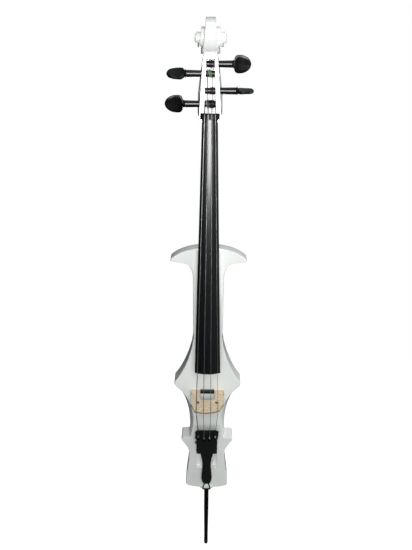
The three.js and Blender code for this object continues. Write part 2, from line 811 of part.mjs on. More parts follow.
function scrollEyes() {
  const low = -scrollEyeHalfWidth;
  const profile = [
    [0, low], [scrollEyeRadius * eyeRimShare, low], [scrollEyeRadius, low + eyeRimLength],
    [scrollEyeRadius, -low - eyeRimLength], [scrollEyeRadius * eyeRimShare, -low], [0, -low],
  ];
  return turned(profile, eyeSides).rotateY(Math.PI / 2).translate(0, scrollDepth, scrollHeight);
}

function pegboxCavity() {
  const corners = (halfWidth, place) => ringAt([[halfWidth, -overrun], [halfWidth, cavityDepth]], place);
  return loft([corners(cavityLowHalfWidth, cavityStart), corners(cavityTopHalfWidth, cavityEnd)]);
}

// Pegs from the nut upwards, each with the side its head is on and the way its head is turned
const pegs = [
  { string: 0, placeShare: 0.2467, side: -1, turn: 76, reachShare: 0.98, headShare: 1.06, loops: 6 },
  { string: 3, placeShare: 0.4625, side: 1, turn: 14, reachShare: 1.055, headShare: 0.91, loops: 5 },
  { string: 1, placeShare: 0.7375, side: -1, turn: 144, reachShare: 1.01, headShare: 1.02, loops: 3 },
  { string: 2, placeShare: 0.8917, side: 1, turn: 104, reachShare: 0.9, headShare: 0.97, loops: 3 },
].map((peg) => ({ ...peg, place: pegboxLength * peg.placeShare, reach: pegReach * peg.reachShare }));

function wallAt(place) {
  const above = pegboxStations.findIndex((station) => station.place >= place);
  const [low, high] = [pegboxStations[above - 1], pegboxStations[above]];
  return low.halfWidth + (high.halfWidth - low.halfWidth) * (place - low.place) / (high.place - low.place);
}

const pegRadiusAt = (along, wall, reach) => {
  const share = (along + wall) / (2 * wall + reach);
  return pegTipRadius + (pegCollarRadius - pegTipRadius) * share;
};

function pegBore({ place, side, reach }) {
  const wall = wallAt(place);
  const end = wall + overrun;
  const [low, high] = [pegRadiusAt(-end, wall, reach) + fit, pegRadiusAt(end, wall, reach) + fit];
  const cone = turned([[0, -end], [low, -end], [high, end], [0, end]], boreSides);
  return cone.rotateY(side * Math.PI / 2).translate(0, pegDepth, place);
}

function neckPiece() {
  const whole = join(pegboxBlock(), neckShaft(), neckHeel(), scrollStair(), scrollEyes());
  return cut(whole, pegboxCavity(), ...pegs.map(pegBore));
}
addPiece(neckFrame, 'neck', neckPiece(), lacquer);

// Fingerboard and nut
function boardRing(halfWidth, z) {
  const arc = [];
  for (let i = 0; i <= boardArcSteps / 2; i += 1) {
    const x = halfWidth * (1 - 2 * i / boardArcSteps);
    arc.push([x, boardSag(x) - boardCrown(halfWidth)]);
  }
  return ringAt([[halfWidth, 0], ...arc], z);
}

function fingerboardPiece() {
  return loft([boardRing(boardEndHalfWidth, -boardEnd), boardRing(boardNutHalfWidth, -fit)]);
}
addPiece(neckFrame, 'fingerboard', fingerboardPiece(), ebony);

const nutCrown = stringHeightAtNut - stringRadii[0] - fit;
const nutBackDropShare = 0.3;
const nutSideShare = 0.62;

function nutRing(drop, z) {
  const arc = [1, 0.8, 0.4, 0].map((share) => {
    const x = nutHalfWidth * share;
    const side = share === 1 ? nutCrown * (1 - nutSideShare) : 0;
    return [x, boardSag(x) - nutCrown + side + drop];
  });
  return ringAt([[nutHalfWidth, 0], ...arc], z);
}

function nutPiece() {
  return loft([nutRing(0, 0), nutRing(nutCrown * nutBackDropShare, nutLength)]);
}
addPiece(neckFrame, 'nut', nutPiece(), ebony);

// Bridge
const bridgeFootFlareShare = 0.95;
const bridgeCrownSteps = 6;
const bridgeSag = (x) => bridgeCrownRadius - Math.sqrt(bridgeCrownRadius ** 2 - x ** 2);
const bridgeTilt = bridgeBassRise / (1.5 * bridgeSpacing);
const stringRiseAtBridge = (x) => bridgeHeight - bridgeSag(x) - bridgeTilt * x;
const bridgeDrop = stringRadii[0] + 3 * fit;

function bridgePiece() {
  const shape = new THREE.Shape();
  shape.moveTo(archHalfWidth, 0);
  shape.lineTo(bridgeHalfWidth, 0);
  shape.lineTo(bridgeHalfWidth, bridgeFootHeight);
  shape.lineTo(bridgeHalfWidth * bridgeFootFlareShare, 2 * bridgeFootHeight);
  shape.lineTo(bridgeHalfWidth * bridgeFootFlareShare, bridgeShoulderHeight);
  for (let i = 0; i <= bridgeCrownSteps; i += 1) {
    const x = bridgeCrownHalfWidth * (1 - 2 * i / bridgeCrownSteps);
    shape.lineTo(x, stringRiseAtBridge(x) - bridgeDrop);
  }
  shape.lineTo(-bridgeHalfWidth * bridgeFootFlareShare, bridgeShoulderHeight);
  shape.lineTo(-bridgeHalfWidth * bridgeFootFlareShare, 2 * bridgeFootHeight);
  shape.lineTo(-bridgeHalfWidth, bridgeFootHeight);
  shape.lineTo(-bridgeHalfWidth, 0);
  shape.lineTo(-archHalfWidth, 0);
  shape.lineTo(-archHalfWidth, archHeight - archRound);
  shape.quadraticCurveTo(-archHalfWidth, archHeight, -archHalfWidth + archRound, archHeight);
  shape.lineTo(archHalfWidth - archRound, archHeight);
  shape.quadraticCurveTo(archHalfWidth, archHeight, archHalfWidth, archHeight - archRound);
  [-1, 1].forEach((side) => {
    const kidney = new THREE.Path();
    kidney.absarc(side * kidneySide, kidneyHeight, kidneyRadius, 0, 2 * Math.PI, true);
    shape.holes.push(kidney);
  });
  const room = bridgeFootThickness + overrun;
  const plate = new THREE.ExtrudeGeometry(shape, { depth: 2 * room, bevelEnabled: false, curveSegments: 4 });
  const wedge = new THREE.Shape();
  const [foot, crown] = [bridgeFootThickness / 2, bridgeCrownThickness / 2];
  wedge.moveTo(-overrun, -foot);
  wedge.lineTo(-overrun, foot);
  wedge.lineTo(bridgeHeight + overrun, crown);
  wedge.lineTo(bridgeHeight + overrun, -crown);
  const taper = new THREE.ExtrudeGeometry(wedge, { depth: 4 * bridgeHalfWidth, bevelEnabled: false });
  const upright = new THREE.Matrix4().makeBasis(
    new THREE.Vector3(0, 1, 0),
    new THREE.Vector3(0, 0, 1),
    new THREE.Vector3(1, 0, 0),
  );
  taper.applyMatrix4(upright).translate(-2 * bridgeHalfWidth, 0, 0);
  const bridge = common(plate.translate(0, 0, -room), taper);
  return bridge.rotateX(Math.PI).translate(0, frontY - fit, bridgeBaseHeight);
}
addPiece(cello, 'bridge', bridgePiece(), maple);

// Nut points, and the coil that each string makes on its peg
const stringNames = ['c', 'g', 'd', 'a'];
const middleString = (stringRadii.length - 1) / 2;
const nutSide = (string) => (string - middleString) * nutSpacing;
const stringAtNut = (string) => boardSag(nutSide(string)) - stringHeightAtNut;
const nutFront = (string) => new THREE.Vector3(nutSide(string), stringAtNut(string), 0);
const nutBack = (string) => new THREE.Vector3(
  nutSide(string),
  stringAtNut(string) + nutCrown * nutBackDropShare,
  nutLength,
);
const coilStartShares = [0.7937, 0.5079, 0.4444, 0.7302];
const coilBendShare = 1.6;
const coilPitch = (radius) => 2 * radius + windingGap;
const coilFirst = ({ start, radius }) => start - coilPitch(radius);

// The point where a string meets its coil, and the turn at which it does
function coilOf({ string, place, side, reach: pegLength, loops }) {
  const radius = stringRadii[string];
  const start = cavityLowHalfWidth * coilStartShares[string];
  const reach = pegRadiusAt(start, wallAt(place), pegLength) + radius + fit;
  const from = nutBack(string);
  const [dy, dz] = [pegDepth - from.y, place - from.z];
  const along = Math.atan2(dz, dy) + Math.asin(reach / Math.hypot(dy, dz));
  const touch = new THREE.Vector3(side * start, pegDepth - reach * Math.sin(along), place + reach * Math.cos(along));
  const turn = Math.atan2(touch.y - pegDepth, -side * (touch.z - place));
  const out = from.clone().sub(touch).normalize();
  return { string, place, side, radius, start, reach, touch, turn, out, loops };
}

const coilEnd = ({ turn, side, loops }) => turn - side * 2 * Math.PI * loops;

// The coil in its peg's own frame, beside the string, with a straight end towards the nut and one into the peg
function coilPoints(coil) {
  const { radius, reach, turn, side, out, loops } = coil;
  const start = coilFirst(coil);
  const points = [];
  const at = (distance, angle, z) => new THREE.Vector3(distance * Math.cos(angle), distance * Math.sin(angle), z);
  const lead = new THREE.Vector3(-side * out.z, out.y, side * out.x);
  points.push(at(reach, turn, start).addScaledVector(lead, 2 * radius));
  const steps = loops * windingSteps;
  for (let i = 0; i <= steps; i += 1) {
    const share = i / steps;
    points.push(at(reach, turn + (coilEnd(coil) - turn) * share, start - coilPitch(radius) * loops * share));
  }
  const bendRadius = coilBendShare * radius;
  const last = points.at(-1);
  const inward = at(-1, coilEnd(coil), 0);
  const onward = at(1, coilEnd(coil) - side * Math.PI / 2, 0);
  for (let i = 1; i <= windingBendSteps; i += 1) {
    const angle = Math.PI / 2 * i / windingBendSteps;
    const step = onward.clone().multiplyScalar(bendRadius * Math.sin(angle));
    points.push(last.clone().add(step).addScaledVector(inward, bendRadius * (1 - Math.cos(angle))));
  }
  points.push(points.at(-1).clone().addScaledVector(inward, 2 * radius));
  return points;
}

function leastGap(points, radius) {
  let least = Infinity;
  const apart = windingSteps / 2;
  for (let i = 0; i < points.length; i += 1) {
    for (let j = i + apart; j < points.length; j += 1) {
      least = Math.min(least, points[i].distanceTo(points[j]) - 2 * radius);
    }
  }
  return least;
}

// Pegs: a tapered shaft with a collar ring and a flat head, whose stations are place, height and thickness
const pegHeadShares = [
  [0, 0.3441, 1],
  [0.03, 0.63, 0.93],
  [0.07, 0.81, 0.84],
  [0.13, 0.925, 0.75],
  [0.22, 0.985, 0.63],
  [0.36, 1, 0.53],
  [0.52, 0.96, 0.5],
  [0.67, 0.86, 0.6],
  [0.8, 0.7, 0.7],
  [0.9, 0.51, 0.72],
  [0.965, 0.31, 0.58],
  [1, 0.11, 0.28],
];
const pegHeadStations = pegHeadShares.map(([along, height, thickness]) => ({
  along: pegHeadLength * along,
  height: pegHeadHalfHeight * height,
  thickness: pegHeadHalfThickness * thickness,
}));
const pegRingShare = 0.75;

function ovalRing(height, thickness, z) {
  const ring = [];
  for (let i = 0; i < pegSides; i += 1) {
    const angle = 2 * Math.PI * i / pegSides;
    ring.push(new THREE.Vector3(thickness * Math.cos(angle), height * Math.sin(angle), z));
  }
  return ring;
}

function pegPiece(peg, coil) {
  const wall = wallAt(peg.place);
  const collar = wall + peg.reach;
  const round = (radius, z) => ovalRing(radius, radius, z);
  const rings = [
    round(pegTipRadius, -wall - pegTipStand),
    round(pegCollarRadius, collar - pegRingLength),
    round(pegRingRadius, collar - pegRingLength * pegRingShare),
    round(pegRingRadius, collar),
    ...pegHeadStations.map(({ along, height, thickness }) => {
      return ovalRing(height, thickness, collar + along * peg.headShare);
    }),
  ];
  const hole = rodAlongX(
    stringHoleRadius,
    stringHoleFloor,
    2 * pegRingRadius,
    -peg.side * coilBendShare * coil.radius,
    coilFirst(coil) - coilPitch(coil.radius) * coil.loops,
    tunerSides,
  );
  return cut(loft(rings).rotateZ(THREE.MathUtils.degToRad(peg.turn)), hole.rotateZ(coilEnd(coil)));
}

const coils = pegs.map(coilOf);
pegs.forEach((peg, i) => {
  const coil = coils[i];
  const pegFrame = new THREE.Group();
  pegFrame.position.set(0, pegDepth, peg.place);
  pegFrame.rotation.y = peg.side * Math.PI / 2;
  neckFrame.add(pegFrame);
  const name = stringNames[peg.string];
  addPiece(pegFrame, `peg_${name}`, pegPiece(peg, coil), ebony);
  const points = coilPoints(coil);
  console.log(`least gap of winding_${name}: ${leastGap(points, coil.radius).toFixed(2)} mm`);
  addPiece(pegFrame, `winding_${name}`, tube(points, coil.radius, windingSides), silks[peg.string]);
});

// Tailpiece with built-in fine tuners; each station is a place, half width and thickness
const tailStationShares = [
  [0, 0.9524, 0.9286],
  [0.0115, 1, 1],
  [0.0923, 0.9592, 1],
  [0.2307, 0.7823, 0.8929],
  [0.3784, 0.5578, 0.7857],
  [0.4892, 0.415, 0.7143],
  [0.5907, 0.3673, 0.6786],
  [0.6922, 0.3946, 0.6571],
  [0.7937, 0.4422, 0.6286],
  [0.8952, 0.4694, 0.6143],
  [0.9414, 0.4354, 0.6071],
  [0.9737, 0.3605, 0.6],
  [1, 0.2585, 0.5429],
];
const tailStations = tailStationShares.map(([place, halfWidth, thickness]) => ({
  place: tailLength * place,
  halfWidth: tailHalfWidth * halfWidth,
  thickness: tailThickness * thickness,
}));
const tailSideShare = 0.55;
const tailFootShare = 0.82;
const tailSide = (string) => (string - middleString) * tailSpacing;

function tailRing({ place, halfWidth, thickness }) {
  const arc = [];
  for (let i = 0; i <= tailArcSteps / 2; i += 1) {
    const x = halfWidth * (1 - 2 * i / tailArcSteps);
    arc.push([x, tailStringDrop + boardSag(x)]);
  }
  const edge = arc[0][1];
  const foot = tailStringDrop + thickness;
  return ringAt([[halfWidth * tailFootShare, foot], [halfWidth, edge + (foot - edge) * tailSideShare], ...arc], -place);
}

const tunerPlaces = stringRadii.map((_, string) => tailSide(string));

function tailpiecePiece() {
  const gutDepth = tailStringDrop + gutTailDepth;
  return cut(
    loft(tailStations.map(tailRing)),
    block(-tunerPocketHalfWidth, tunerPocketHalfWidth, tunerPlateDepth, 2 * tailThickness,
      -tunerPocketEnd, -tunerPocketStart),
    ...tunerPlaces.map((x) => block(x - tunerSlotWidth / 2, x + tunerSlotWidth / 2, -overrun,
      tunerPlateDepth + overrun, -tunerSlotEnd, -tunerSlotStart)),
    ...tunerPlaces.map((x) => rodAlongY(tunerShankRadius + fit, -overrun, tunerPlateDepth + overrun, x,
      -tunerScrewPlace, tunerSides)),
    rodAlongX(pinRadius + fit, -pinHalfLength - fit, pinHalfLength + fit, leverPivotDepth, -leverPivotPlace,
      tunerSides),
    ...[-1, 1].map((side) => rod(gutRadius + fit, -tailLength - overrun, -tailLength + gutBoreDepth, tunerSides)
      .translate(side * gutSpread, gutDepth, 0)),
  );
}
addPiece(tailFrame, 'tailpiece', tailpiecePiece(), ebony);
const pinRod = rodAlongX(pinRadius, -pinHalfLength, pinHalfLength, leverPivotDepth, -leverPivotPlace, tunerSides);
addPiece(tailFrame, 'tuner_pin', pinRod, steel);

function leverPiece(string) {
  const lift = boardSag(tailSide(string));
  const fork = new THREE.Shape();
  const [front, back] = [leverPivotPlace - leverForkHalfThickness, leverPivotPlace + leverForkHalfThickness];
  fork.moveTo(front, leverForkTop + lift);
  fork.lineTo(back, leverForkTop + lift);
  fork.lineTo(back, leverArmTop);
  fork.lineTo(leverArmEnd, leverArmTop);
  fork.lineTo(leverArmEnd, leverArmTop + leverArmThickness);
  fork.lineTo(back, leverPivotDepth + leverBossRadius);
  fork.lineTo(front, leverPivotDepth + leverBossRadius);
  const plate = new THREE.ExtrudeGeometry(fork, { depth: leverWidth, bevelEnabled: false });
  const flat = new THREE.Matrix4().makeBasis(
    new THREE.Vector3(0, 0, -1),
    new THREE.Vector3(0, 1, 0),
    new THREE.Vector3(1, 0, 0),
  );
  const slotHalf = stringRadii[string] + 3 * fit;
  return cut(
    plate.applyMatrix4(flat).translate(-leverWidth / 2, 0, 0),
    rodAlongX(pinRadius + fit, -leverWidth, leverWidth, leverPivotDepth, -leverPivotPlace, tunerSides),
    block(-slotHalf, slotHalf, leverForkTop + lift - overrun, lift + slotHalf, -back - overrun, -front + overrun),
  );
}

function tunerScrewPiece(string) {
  const lift = boardSag(tailSide(string));
  const headLow = tunerHeadTop + tunerHeadHeight + lift;
  const screw = turned([
    [0, fit - leverArmTop],
    [tunerShankRadius, fit - leverArmTop],
    [tunerShankRadius, -headLow],
    [tunerHeadRadius, -headLow],
    [tunerHeadRadius, -tunerHeadTop - lift - tunerRim],
    [tunerHeadRadius - tunerRim, -tunerHeadTop - lift],
    [0, -tunerHeadTop - lift],
  ], tunerSides);
  return screw.rotateX(Math.PI / 2);
}

// The ball at the string's end hangs behind the lever's fork, on the last short length of the string
const forkFront = leverPivotPlace - leverForkHalfThickness;
const forkBack = leverPivotPlace + leverForkHalfThickness;

function stringBall(string) {
  const lift = boardSag(tailSide(string));
  const neckEnd = rod(stringRadii[string], -forkBack - fit - ballLength / 2, -forkFront + ballNeckLength, stringSides);
  const ball = rod(ballRadius, -forkBack - fit - ballLength, -forkBack - fit, tunerSides);
  return join(neckEnd, ball).translate(0, lift, 0);
}

stringRadii.forEach((_, string) => {
  const tuner = new THREE.Group();
  tuner.position.set(tailSide(string), 0, 0);
  tailFrame.add(tuner);
  const name = stringNames[string];
  addPiece(tuner, `tuner_lever_${name}`, leverPiece(string), blackSteel);
  addPiece(tuner, `string_ball_${name}`, stringBall(string), steel);
  const screw = addPiece(tuner, `tuner_screw_${name}`, tunerScrewPiece(string), blackSteel);
  screw.position.z = -tunerScrewPlace;
});

// Strings: half round the peg beside the coil, over nut and bridge, and down to the neck of the ball
const wrapSteps = 8;
const wrapShare = 0.4;

function stringPiece(coil) {
  const { string, side, radius, start, reach, turn, place } = coil;
  const x = (string - middleString) * bridgeSpacing;
  const lift = boardSag(tailSide(string));
  const wrap = [];
  for (let i = wrapSteps; i >= 0; i -= 1) {
    const angle = turn - side * 2 * Math.PI * wrapShare * i / wrapSteps;
    const point = new THREE.Vector3(side * start, pegDepth + reach * Math.sin(angle), place - side * reach * Math.cos(angle));
    wrap.push(neckFrame.localToWorld(point));
  }
  return tube([
    ...wrap,
    neckFrame.localToWorld(nutBack(string)),
    neckFrame.localToWorld(nutFront(string)),
    new THREE.Vector3(x, frontY - stringRiseAtBridge(x), bridgeBaseHeight),
    inTail(tailSide(string), lift, forkFront - ballNeckLength - fit),
  ], radius, stringSides);
}
coils.forEach((coil) => {
  addPiece(cello, `string_${stringNames[coil.string]}`, stringPiece(coil), steel);
});

// Saddle and tail gut
const saddleFront = frontY - saddleProud;
const gutY = saddleFront - gutRadius - fit;
const gutUnder = -saddleDrop - gutRadius - fit;

function saddlePiece() {
  const shape = new THREE.Shape();
  shape.moveTo(saddleFront, saddleHeight);
  shape.lineTo(saddleFront, gutRound - saddleDrop);
  shape.quadraticCurveTo(saddleFront, -saddleDrop, saddleFront + gutRound, -saddleDrop);
  shape.lineTo(frontY + saddleDepth, -saddleDrop);
  shape.lineTo(frontY + saddleDepth, saddleHeight);
  const settings = { depth: 2 * saddleHalfWidth, bevelEnabled: false, curveSegments: 4 };
  const turn = new THREE.Matrix4().makeBasis(
    new THREE.Vector3(0, 1, 0),
    new THREE.Vector3(0, 0, 1),
    new THREE.Vector3(1, 0, 0),
  );
  return new THREE.ExtrudeGeometry(shape, settings).applyMatrix4(turn).translate(-saddleHalfWidth, 0, 0);
}
addPiece(cello, 'saddle', saddlePiece(), bone);

function gutLeg(side) {
  const depth = tailStringDrop + gutTailDepth;
  const reach = gutRound + gutRadius + fit;
  const corner = [];
  for (let i = 0; i <= gutCornerSteps; i += 1) {
    const angle = Math.PI / 2 * i / gutCornerSteps;
    const y = saddleFront + gutRound - reach * Math.cos(angle);
    const z = gutRound - saddleDrop - reach * Math.sin(angle);
    corner.push(new THREE.Vector3(side * gutSaddleSpread, y, z));
  }
  return [
    inTail(side * gutSpread, depth, tailLength - gutBoreDepth + fit),
    inTail(side * gutSpread, depth, tailLength + gutRadius),
    new THREE.Vector3(side * gutSaddleSpread, gutY, saddleHeight - gutRound),
    ...corner,
  ];
}

function gutPiece() {
  const reach = plugRadius + gutRadius + fit;
  const loop = [];
  for (let i = 0; i <= gutLoopSteps; i += 1) {
    const angle = Math.PI * i / gutLoopSteps;
    loop.push(new THREE.Vector3(-reach * Math.cos(angle), reach * Math.sin(angle), gutUnder));
  }
  return tube([...gutLeg(-1), ...loop, ...gutLeg(1).reverse()], gutRadius, gutSides);
}
addPiece(cello, 'tail_gut', gutPiece(), plastic);

// Endpin
function plugPiece() {
  const flangeLow = -plugNeckLength - plugFlangeLength;
  const profile = [
    [0, flangeLow],
    [plugFlangeRadius - plugRound, flangeLow],
    [plugFlangeRadius, flangeLow + plugRound],
    [plugFlangeRadius, -plugNeckLength - plugRound / 2],
    [plugFlangeRadius - plugRound / 2, -plugNeckLength],
    [plugRadius, -plugNeckLength],
    [plugRadius, plugDepth],
    [0, plugDepth],
  ];
  return cut(
    turned(profile),
    rod(boreRadius, flangeLow - overrun, plugDepth + overrun),
    rodAlongY(clampScrewRadius + fit, 0, 2 * plugFlangeRadius, 0, clampHeight, tunerSides),
  );
}
const clampHeight = -plugNeckLength - plugFlangeLength / 2;
addPiece(cello, 'endpin_plug', plugPiece(), ebony);

const clampFrame = new THREE.Group();
clampFrame.position.set(0, 0, clampHeight);
cello.add(clampFrame);
const clampHeadLow = plugFlangeRadius + fit + clampHeadStand;
const clampScrew = join(
  rodAlongY(clampScrewRadius, boreRadius + fit, clampHeadLow + overrun, 0, 0, tunerSides),
  rodAlongY(clampHeadRadius, clampHeadLow, clampHeadLow + clampHeadLength, 0, 0, clampHeadSides),
);
addPiece(clampFrame, 'clamp_screw', clampScrew, blackSteel);

const rodEnd = -rodBelow;
const endpinRod = turned([
  [0, rodEnd - rodSpigotLength],
  [rodSpigotRadius, rodEnd - rodSpigotLength],
  [rodSpigotRadius, rodEnd],
  [rodEndRadius, rodEnd],
  [rodEndRadius, -rodTaperEnd],
  [rodRadius, -rodTaperStart],
  [rodRadius, rodInside],
  [0, rodInside],
]);
addPiece(cello, 'endpin_rod', endpinRod, steel);

const tipFoot = rodEnd - tipLength;
const endpinTip = cut(
  turned([
    [0, tipFoot],
    [tipPointRadius, tipFoot],
    [tipRadius * tipRoundShare, tipFoot + tipRoundLength * (1 - tipRoundShare)],
    [tipRadius, tipFoot + tipRoundLength],
    [tipRadius, rodEnd - fit],
    [0, rodEnd - fit],
  ]),
  rod(rodSpigotRadius + fit, rodEnd - rodSpigotLength - fit, rodEnd + overrun),
);
addPiece(cello, 'endpin_tip', endpinTip, rubber);

// Preamp: a case in the body's pocket that holds board, potentiometers and sockets
const caseHalfWidth = pocketHalfWidth - fit;
const caseTop = pocketTopHeight - fit;
const caseFront = frontY - caseProud;
const caseBack = frontY + pocketDepth - fit;
const caseInside = caseHalfWidth - caseWall;
const socketY = caseFront + caseWall + outputRadius + fit;
const boardBack = leadY + boardThickness / 2;
const boardTop = caseTop - caseWall - boardMargin;
const boardLow = caseLowHeight + caseWall + fit;
const knobY = (caseFront + frontY) / 2;
const potOuter = -caseInside + fit;
const potPlaces = [['volume', volumeHeight], ['tone', toneHeight]];
const sockets = [
  { name: 'output_jack', x: outputPlace, radius: outputRadius, bore: outputBoreRadius, length: outputLength },
  { name: 'headphone_jack', x: phonesPlace, radius: phonesRadius, bore: phonesBoreRadius, length: phonesLength },
];

function casePiece() {
  const middle = (caseLowHeight + caseTop) / 2;
  const half = (caseTop - caseLowHeight) / 2;
  return cut(
    roundedPlate(caseHalfWidth, half, caseRound, caseFront, caseBack, 0, middle),
    block(-caseInside, caseInside, caseFront + caseWall, caseBack + overrun, caseLowHeight + caseWall,
      caseTop - caseWall),
    ...potPlaces.map(([, height]) => rodAlongX(knobStemRadius + fit, -2 * caseHalfWidth, 0, knobY, height,
      tunerSides)),
    ...sockets.map(({ x, radius }) => rod(radius * socketNeckShare + fit, caseLowHeight - overrun, boardLow + overrun)
      .translate(x, socketY, 0)),
    rod(leadHoleRadius, caseTop - 2 * caseWall, caseTop + overrun, tunerSides).translate(pickupLeadSide, leadY, 0),
    rod(leadHoleRadius, caseTop - 2 * caseWall, caseTop + overrun, tunerSides).translate(batteryLeadSide, leadY, 0),
  );
}
addPiece(cello, 'preamp_case', casePiece(), plastic);

function preampBoard() {
  const board = block(-caseInside + fit, caseInside - fit, boardBack - boardThickness, boardBack, boardLow, boardTop);
  const chipLow = boardTop - boardMargin - chipHeight;
  const chip = block(-chipWidth / 2, chipWidth / 2, boardBack - boardThickness - chipThickness, boardBack - fit,
    chipLow, chipLow + chipHeight);
  const caps = [-1, 1].map((side) => rodAlongY(capRadius, boardBack - boardThickness - capHeight, boardBack - fit,
    side * chipWidth * 1.5, chipLow + chipHeight / 2, tunerSides));
  return join(board, chip, ...caps);
}
addPiece(cello, 'preamp_board', preampBoard(), laminate);

potPlaces.forEach(([name, height]) => {
  const pot = cut(
    block(potOuter, potOuter + potLength, knobY - potWidth / 2, knobY + potWidth / 2, height - potWidth / 2,
      height + potWidth / 2),
    rodAlongX(potBoreRadius, potOuter - overrun, potOuter + knobStemLength, knobY, height, tunerSides),
  );
  addPiece(cello, `${name}_pot`, pot, steel);
  const knobFrame = new THREE.Group();
  knobFrame.position.set(-caseHalfWidth, knobY, height);
  cello.add(knobFrame);
  const knob = join(
    rodAlongX(knobRadius, -knobLength - fit, -fit, 0, 0, knobSides),
    rodAlongX(knobStemRadius, -knobLength / 2, caseWall + knobStemLength - fit, 0, 0, tunerSides),
  );
  addPiece(knobFrame, `${name}_knob`, knob, plastic);
});

sockets.forEach(({ name, x, radius, bore, length }) => {
  const neck = radius * socketNeckShare;
  const barrel = turned([
    [0, caseLowHeight - collarProud],
    [neck, caseLowHeight - collarProud],
    [neck, boardLow],
    [radius, boardLow],
    [radius, boardLow + length],
    [0, boardLow + length],
  ]);
  const socket = cut(barrel, rod(bore, caseLowHeight - overrun, boardLow + length - overrun, tunerSides));
  addPiece(cello, name, socket.translate(x, socketY, 0), blackSteel);
});

// Pickup under the bridge, and its lead down to the board
const pickupFront = frontY - fit - pickupHeight;
const pickup = roundedPlate(pickupHalfWidth, pickupThickness / 2, pickupRound, pickupFront, frontY - fit, 0,
  pickupPlace);
addPiece(cello, 'pickup', pickup, plastic);

const pickupLead = tube([
  new THREE.Vector3(pickupLeadSide, frontY, pickupPlace),
  new THREE.Vector3(pickupLeadSide, leadY - leadBend, pickupPlace),
  new THREE.Vector3(pickupLeadSide, leadY - leadBend * leadCornerShare, pickupPlace - leadBend * leadCornerShare),
  new THREE.Vector3(pickupLeadSide, leadY, pickupPlace - leadBend),
  new THREE.Vector3(pickupLeadSide, leadY, boardTop + fit),
], leadRadius, leadSides);
addPiece(cello, 'pickup_lead', pickupLead, plastic);

// Battery, its clip and lead, and the cover in the back
const batteryLow = batteryHeight - batteryLength / 2;
const batteryY0 = bayFloorY + fit;
const batteryY1 = batteryY0 + batteryThickness;
const batteryMiddleY = (batteryY0 + batteryY1) / 2;
const battery = join(
  block(batterySide - batteryWidth / 2, batterySide + batteryWidth / 2, batteryY0, batteryY1, batteryLow,
    batteryLow + batteryLength),
  ...[-1, 1].map((side) => rod(terminalRadius, batteryLow - terminalHeight, batteryLow + fit, tunerSides)
    .translate(batterySide + side * clipDepth / 2, batteryMiddleY, 0)),
);
addPiece(cello, 'battery', battery, blackSteel);

const clipTop = batteryLow - terminalHeight - fit;
const clip = block(batterySide - clipDepth, batterySide + clipDepth, batteryMiddleY - clipDepth / 2,
  batteryMiddleY + clipDepth / 2, bayLow + batteryRoom, clipTop);
addPiece(cello, 'battery_clip', clip, plastic);

const batteryLead = tube([
  new THREE.Vector3(...batteryLeadPoint(bayLow + batteryRoom - fit)),
  new THREE.Vector3(...batteryLeadPoint(pocketTopHeight)),
  new THREE.Vector3(batteryLeadSide, leadY, boardTop + fit),
], leadRadius, leadSides);
addPiece(cello, 'battery_lead', batteryLead, plastic);

const cover = cut(
  roundedPlate(coverHalfWidth, coverHalfHeight, coverRound, backY - coverThickness, backY, batterySide, bayMiddle),
  ...coverScrewPlaces.map(([x, z]) => rodAlongY(coverScrewRadius + fit, 0, 2 * backY, x, z, tunerSides)),
  ...coverScrewPlaces.map(([x, z]) => rodAlongY(coverScrewHeadRadius + fit, backY - coverScrewHeadLength - fit,
    2 * backY, x, z, tunerSides)),
);
addPiece(cello, 'battery_cover', cover, plastic);
coverScrewPlaces.forEach(([x, z], i) => {
  const screw = join(
    rodAlongY(coverScrewRadius, backY - coverScrewLength, backY, x, z, tunerSides),
    rodAlongY(coverScrewHeadRadius, backY - coverScrewHeadLength, backY, x, z, tunerSides),
  );
  addPiece(cello, `cover_screw_${i + 1}`, screw, blackSteel);
});

export default cello;
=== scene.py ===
# Electric cello with four strings, upright on its endpin, in metres, +Z up and the strings towards -Y.
import json
import math

import bmesh
import bpy
from mathutils import Matrix, Vector

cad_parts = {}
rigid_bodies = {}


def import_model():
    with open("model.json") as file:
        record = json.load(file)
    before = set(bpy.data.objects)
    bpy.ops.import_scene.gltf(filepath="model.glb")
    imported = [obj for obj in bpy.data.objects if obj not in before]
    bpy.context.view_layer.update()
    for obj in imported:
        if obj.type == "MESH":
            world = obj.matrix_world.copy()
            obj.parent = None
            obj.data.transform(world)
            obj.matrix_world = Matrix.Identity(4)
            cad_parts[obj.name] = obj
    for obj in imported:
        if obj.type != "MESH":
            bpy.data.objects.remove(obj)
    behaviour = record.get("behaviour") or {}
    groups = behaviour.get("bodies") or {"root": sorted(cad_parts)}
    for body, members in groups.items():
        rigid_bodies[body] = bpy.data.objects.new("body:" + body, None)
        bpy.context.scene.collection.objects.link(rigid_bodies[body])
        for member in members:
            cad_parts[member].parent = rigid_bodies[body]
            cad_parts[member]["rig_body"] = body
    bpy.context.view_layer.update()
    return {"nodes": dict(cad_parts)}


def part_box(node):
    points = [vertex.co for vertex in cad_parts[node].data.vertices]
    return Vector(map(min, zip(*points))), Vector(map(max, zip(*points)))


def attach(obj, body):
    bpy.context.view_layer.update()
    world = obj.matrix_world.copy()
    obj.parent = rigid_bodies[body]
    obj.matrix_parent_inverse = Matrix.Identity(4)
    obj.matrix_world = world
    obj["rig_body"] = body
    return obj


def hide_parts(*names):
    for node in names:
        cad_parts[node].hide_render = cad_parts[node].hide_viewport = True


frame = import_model()
nodes = frame["nodes"]
MM = 0.001
STRINGS = "cgda"

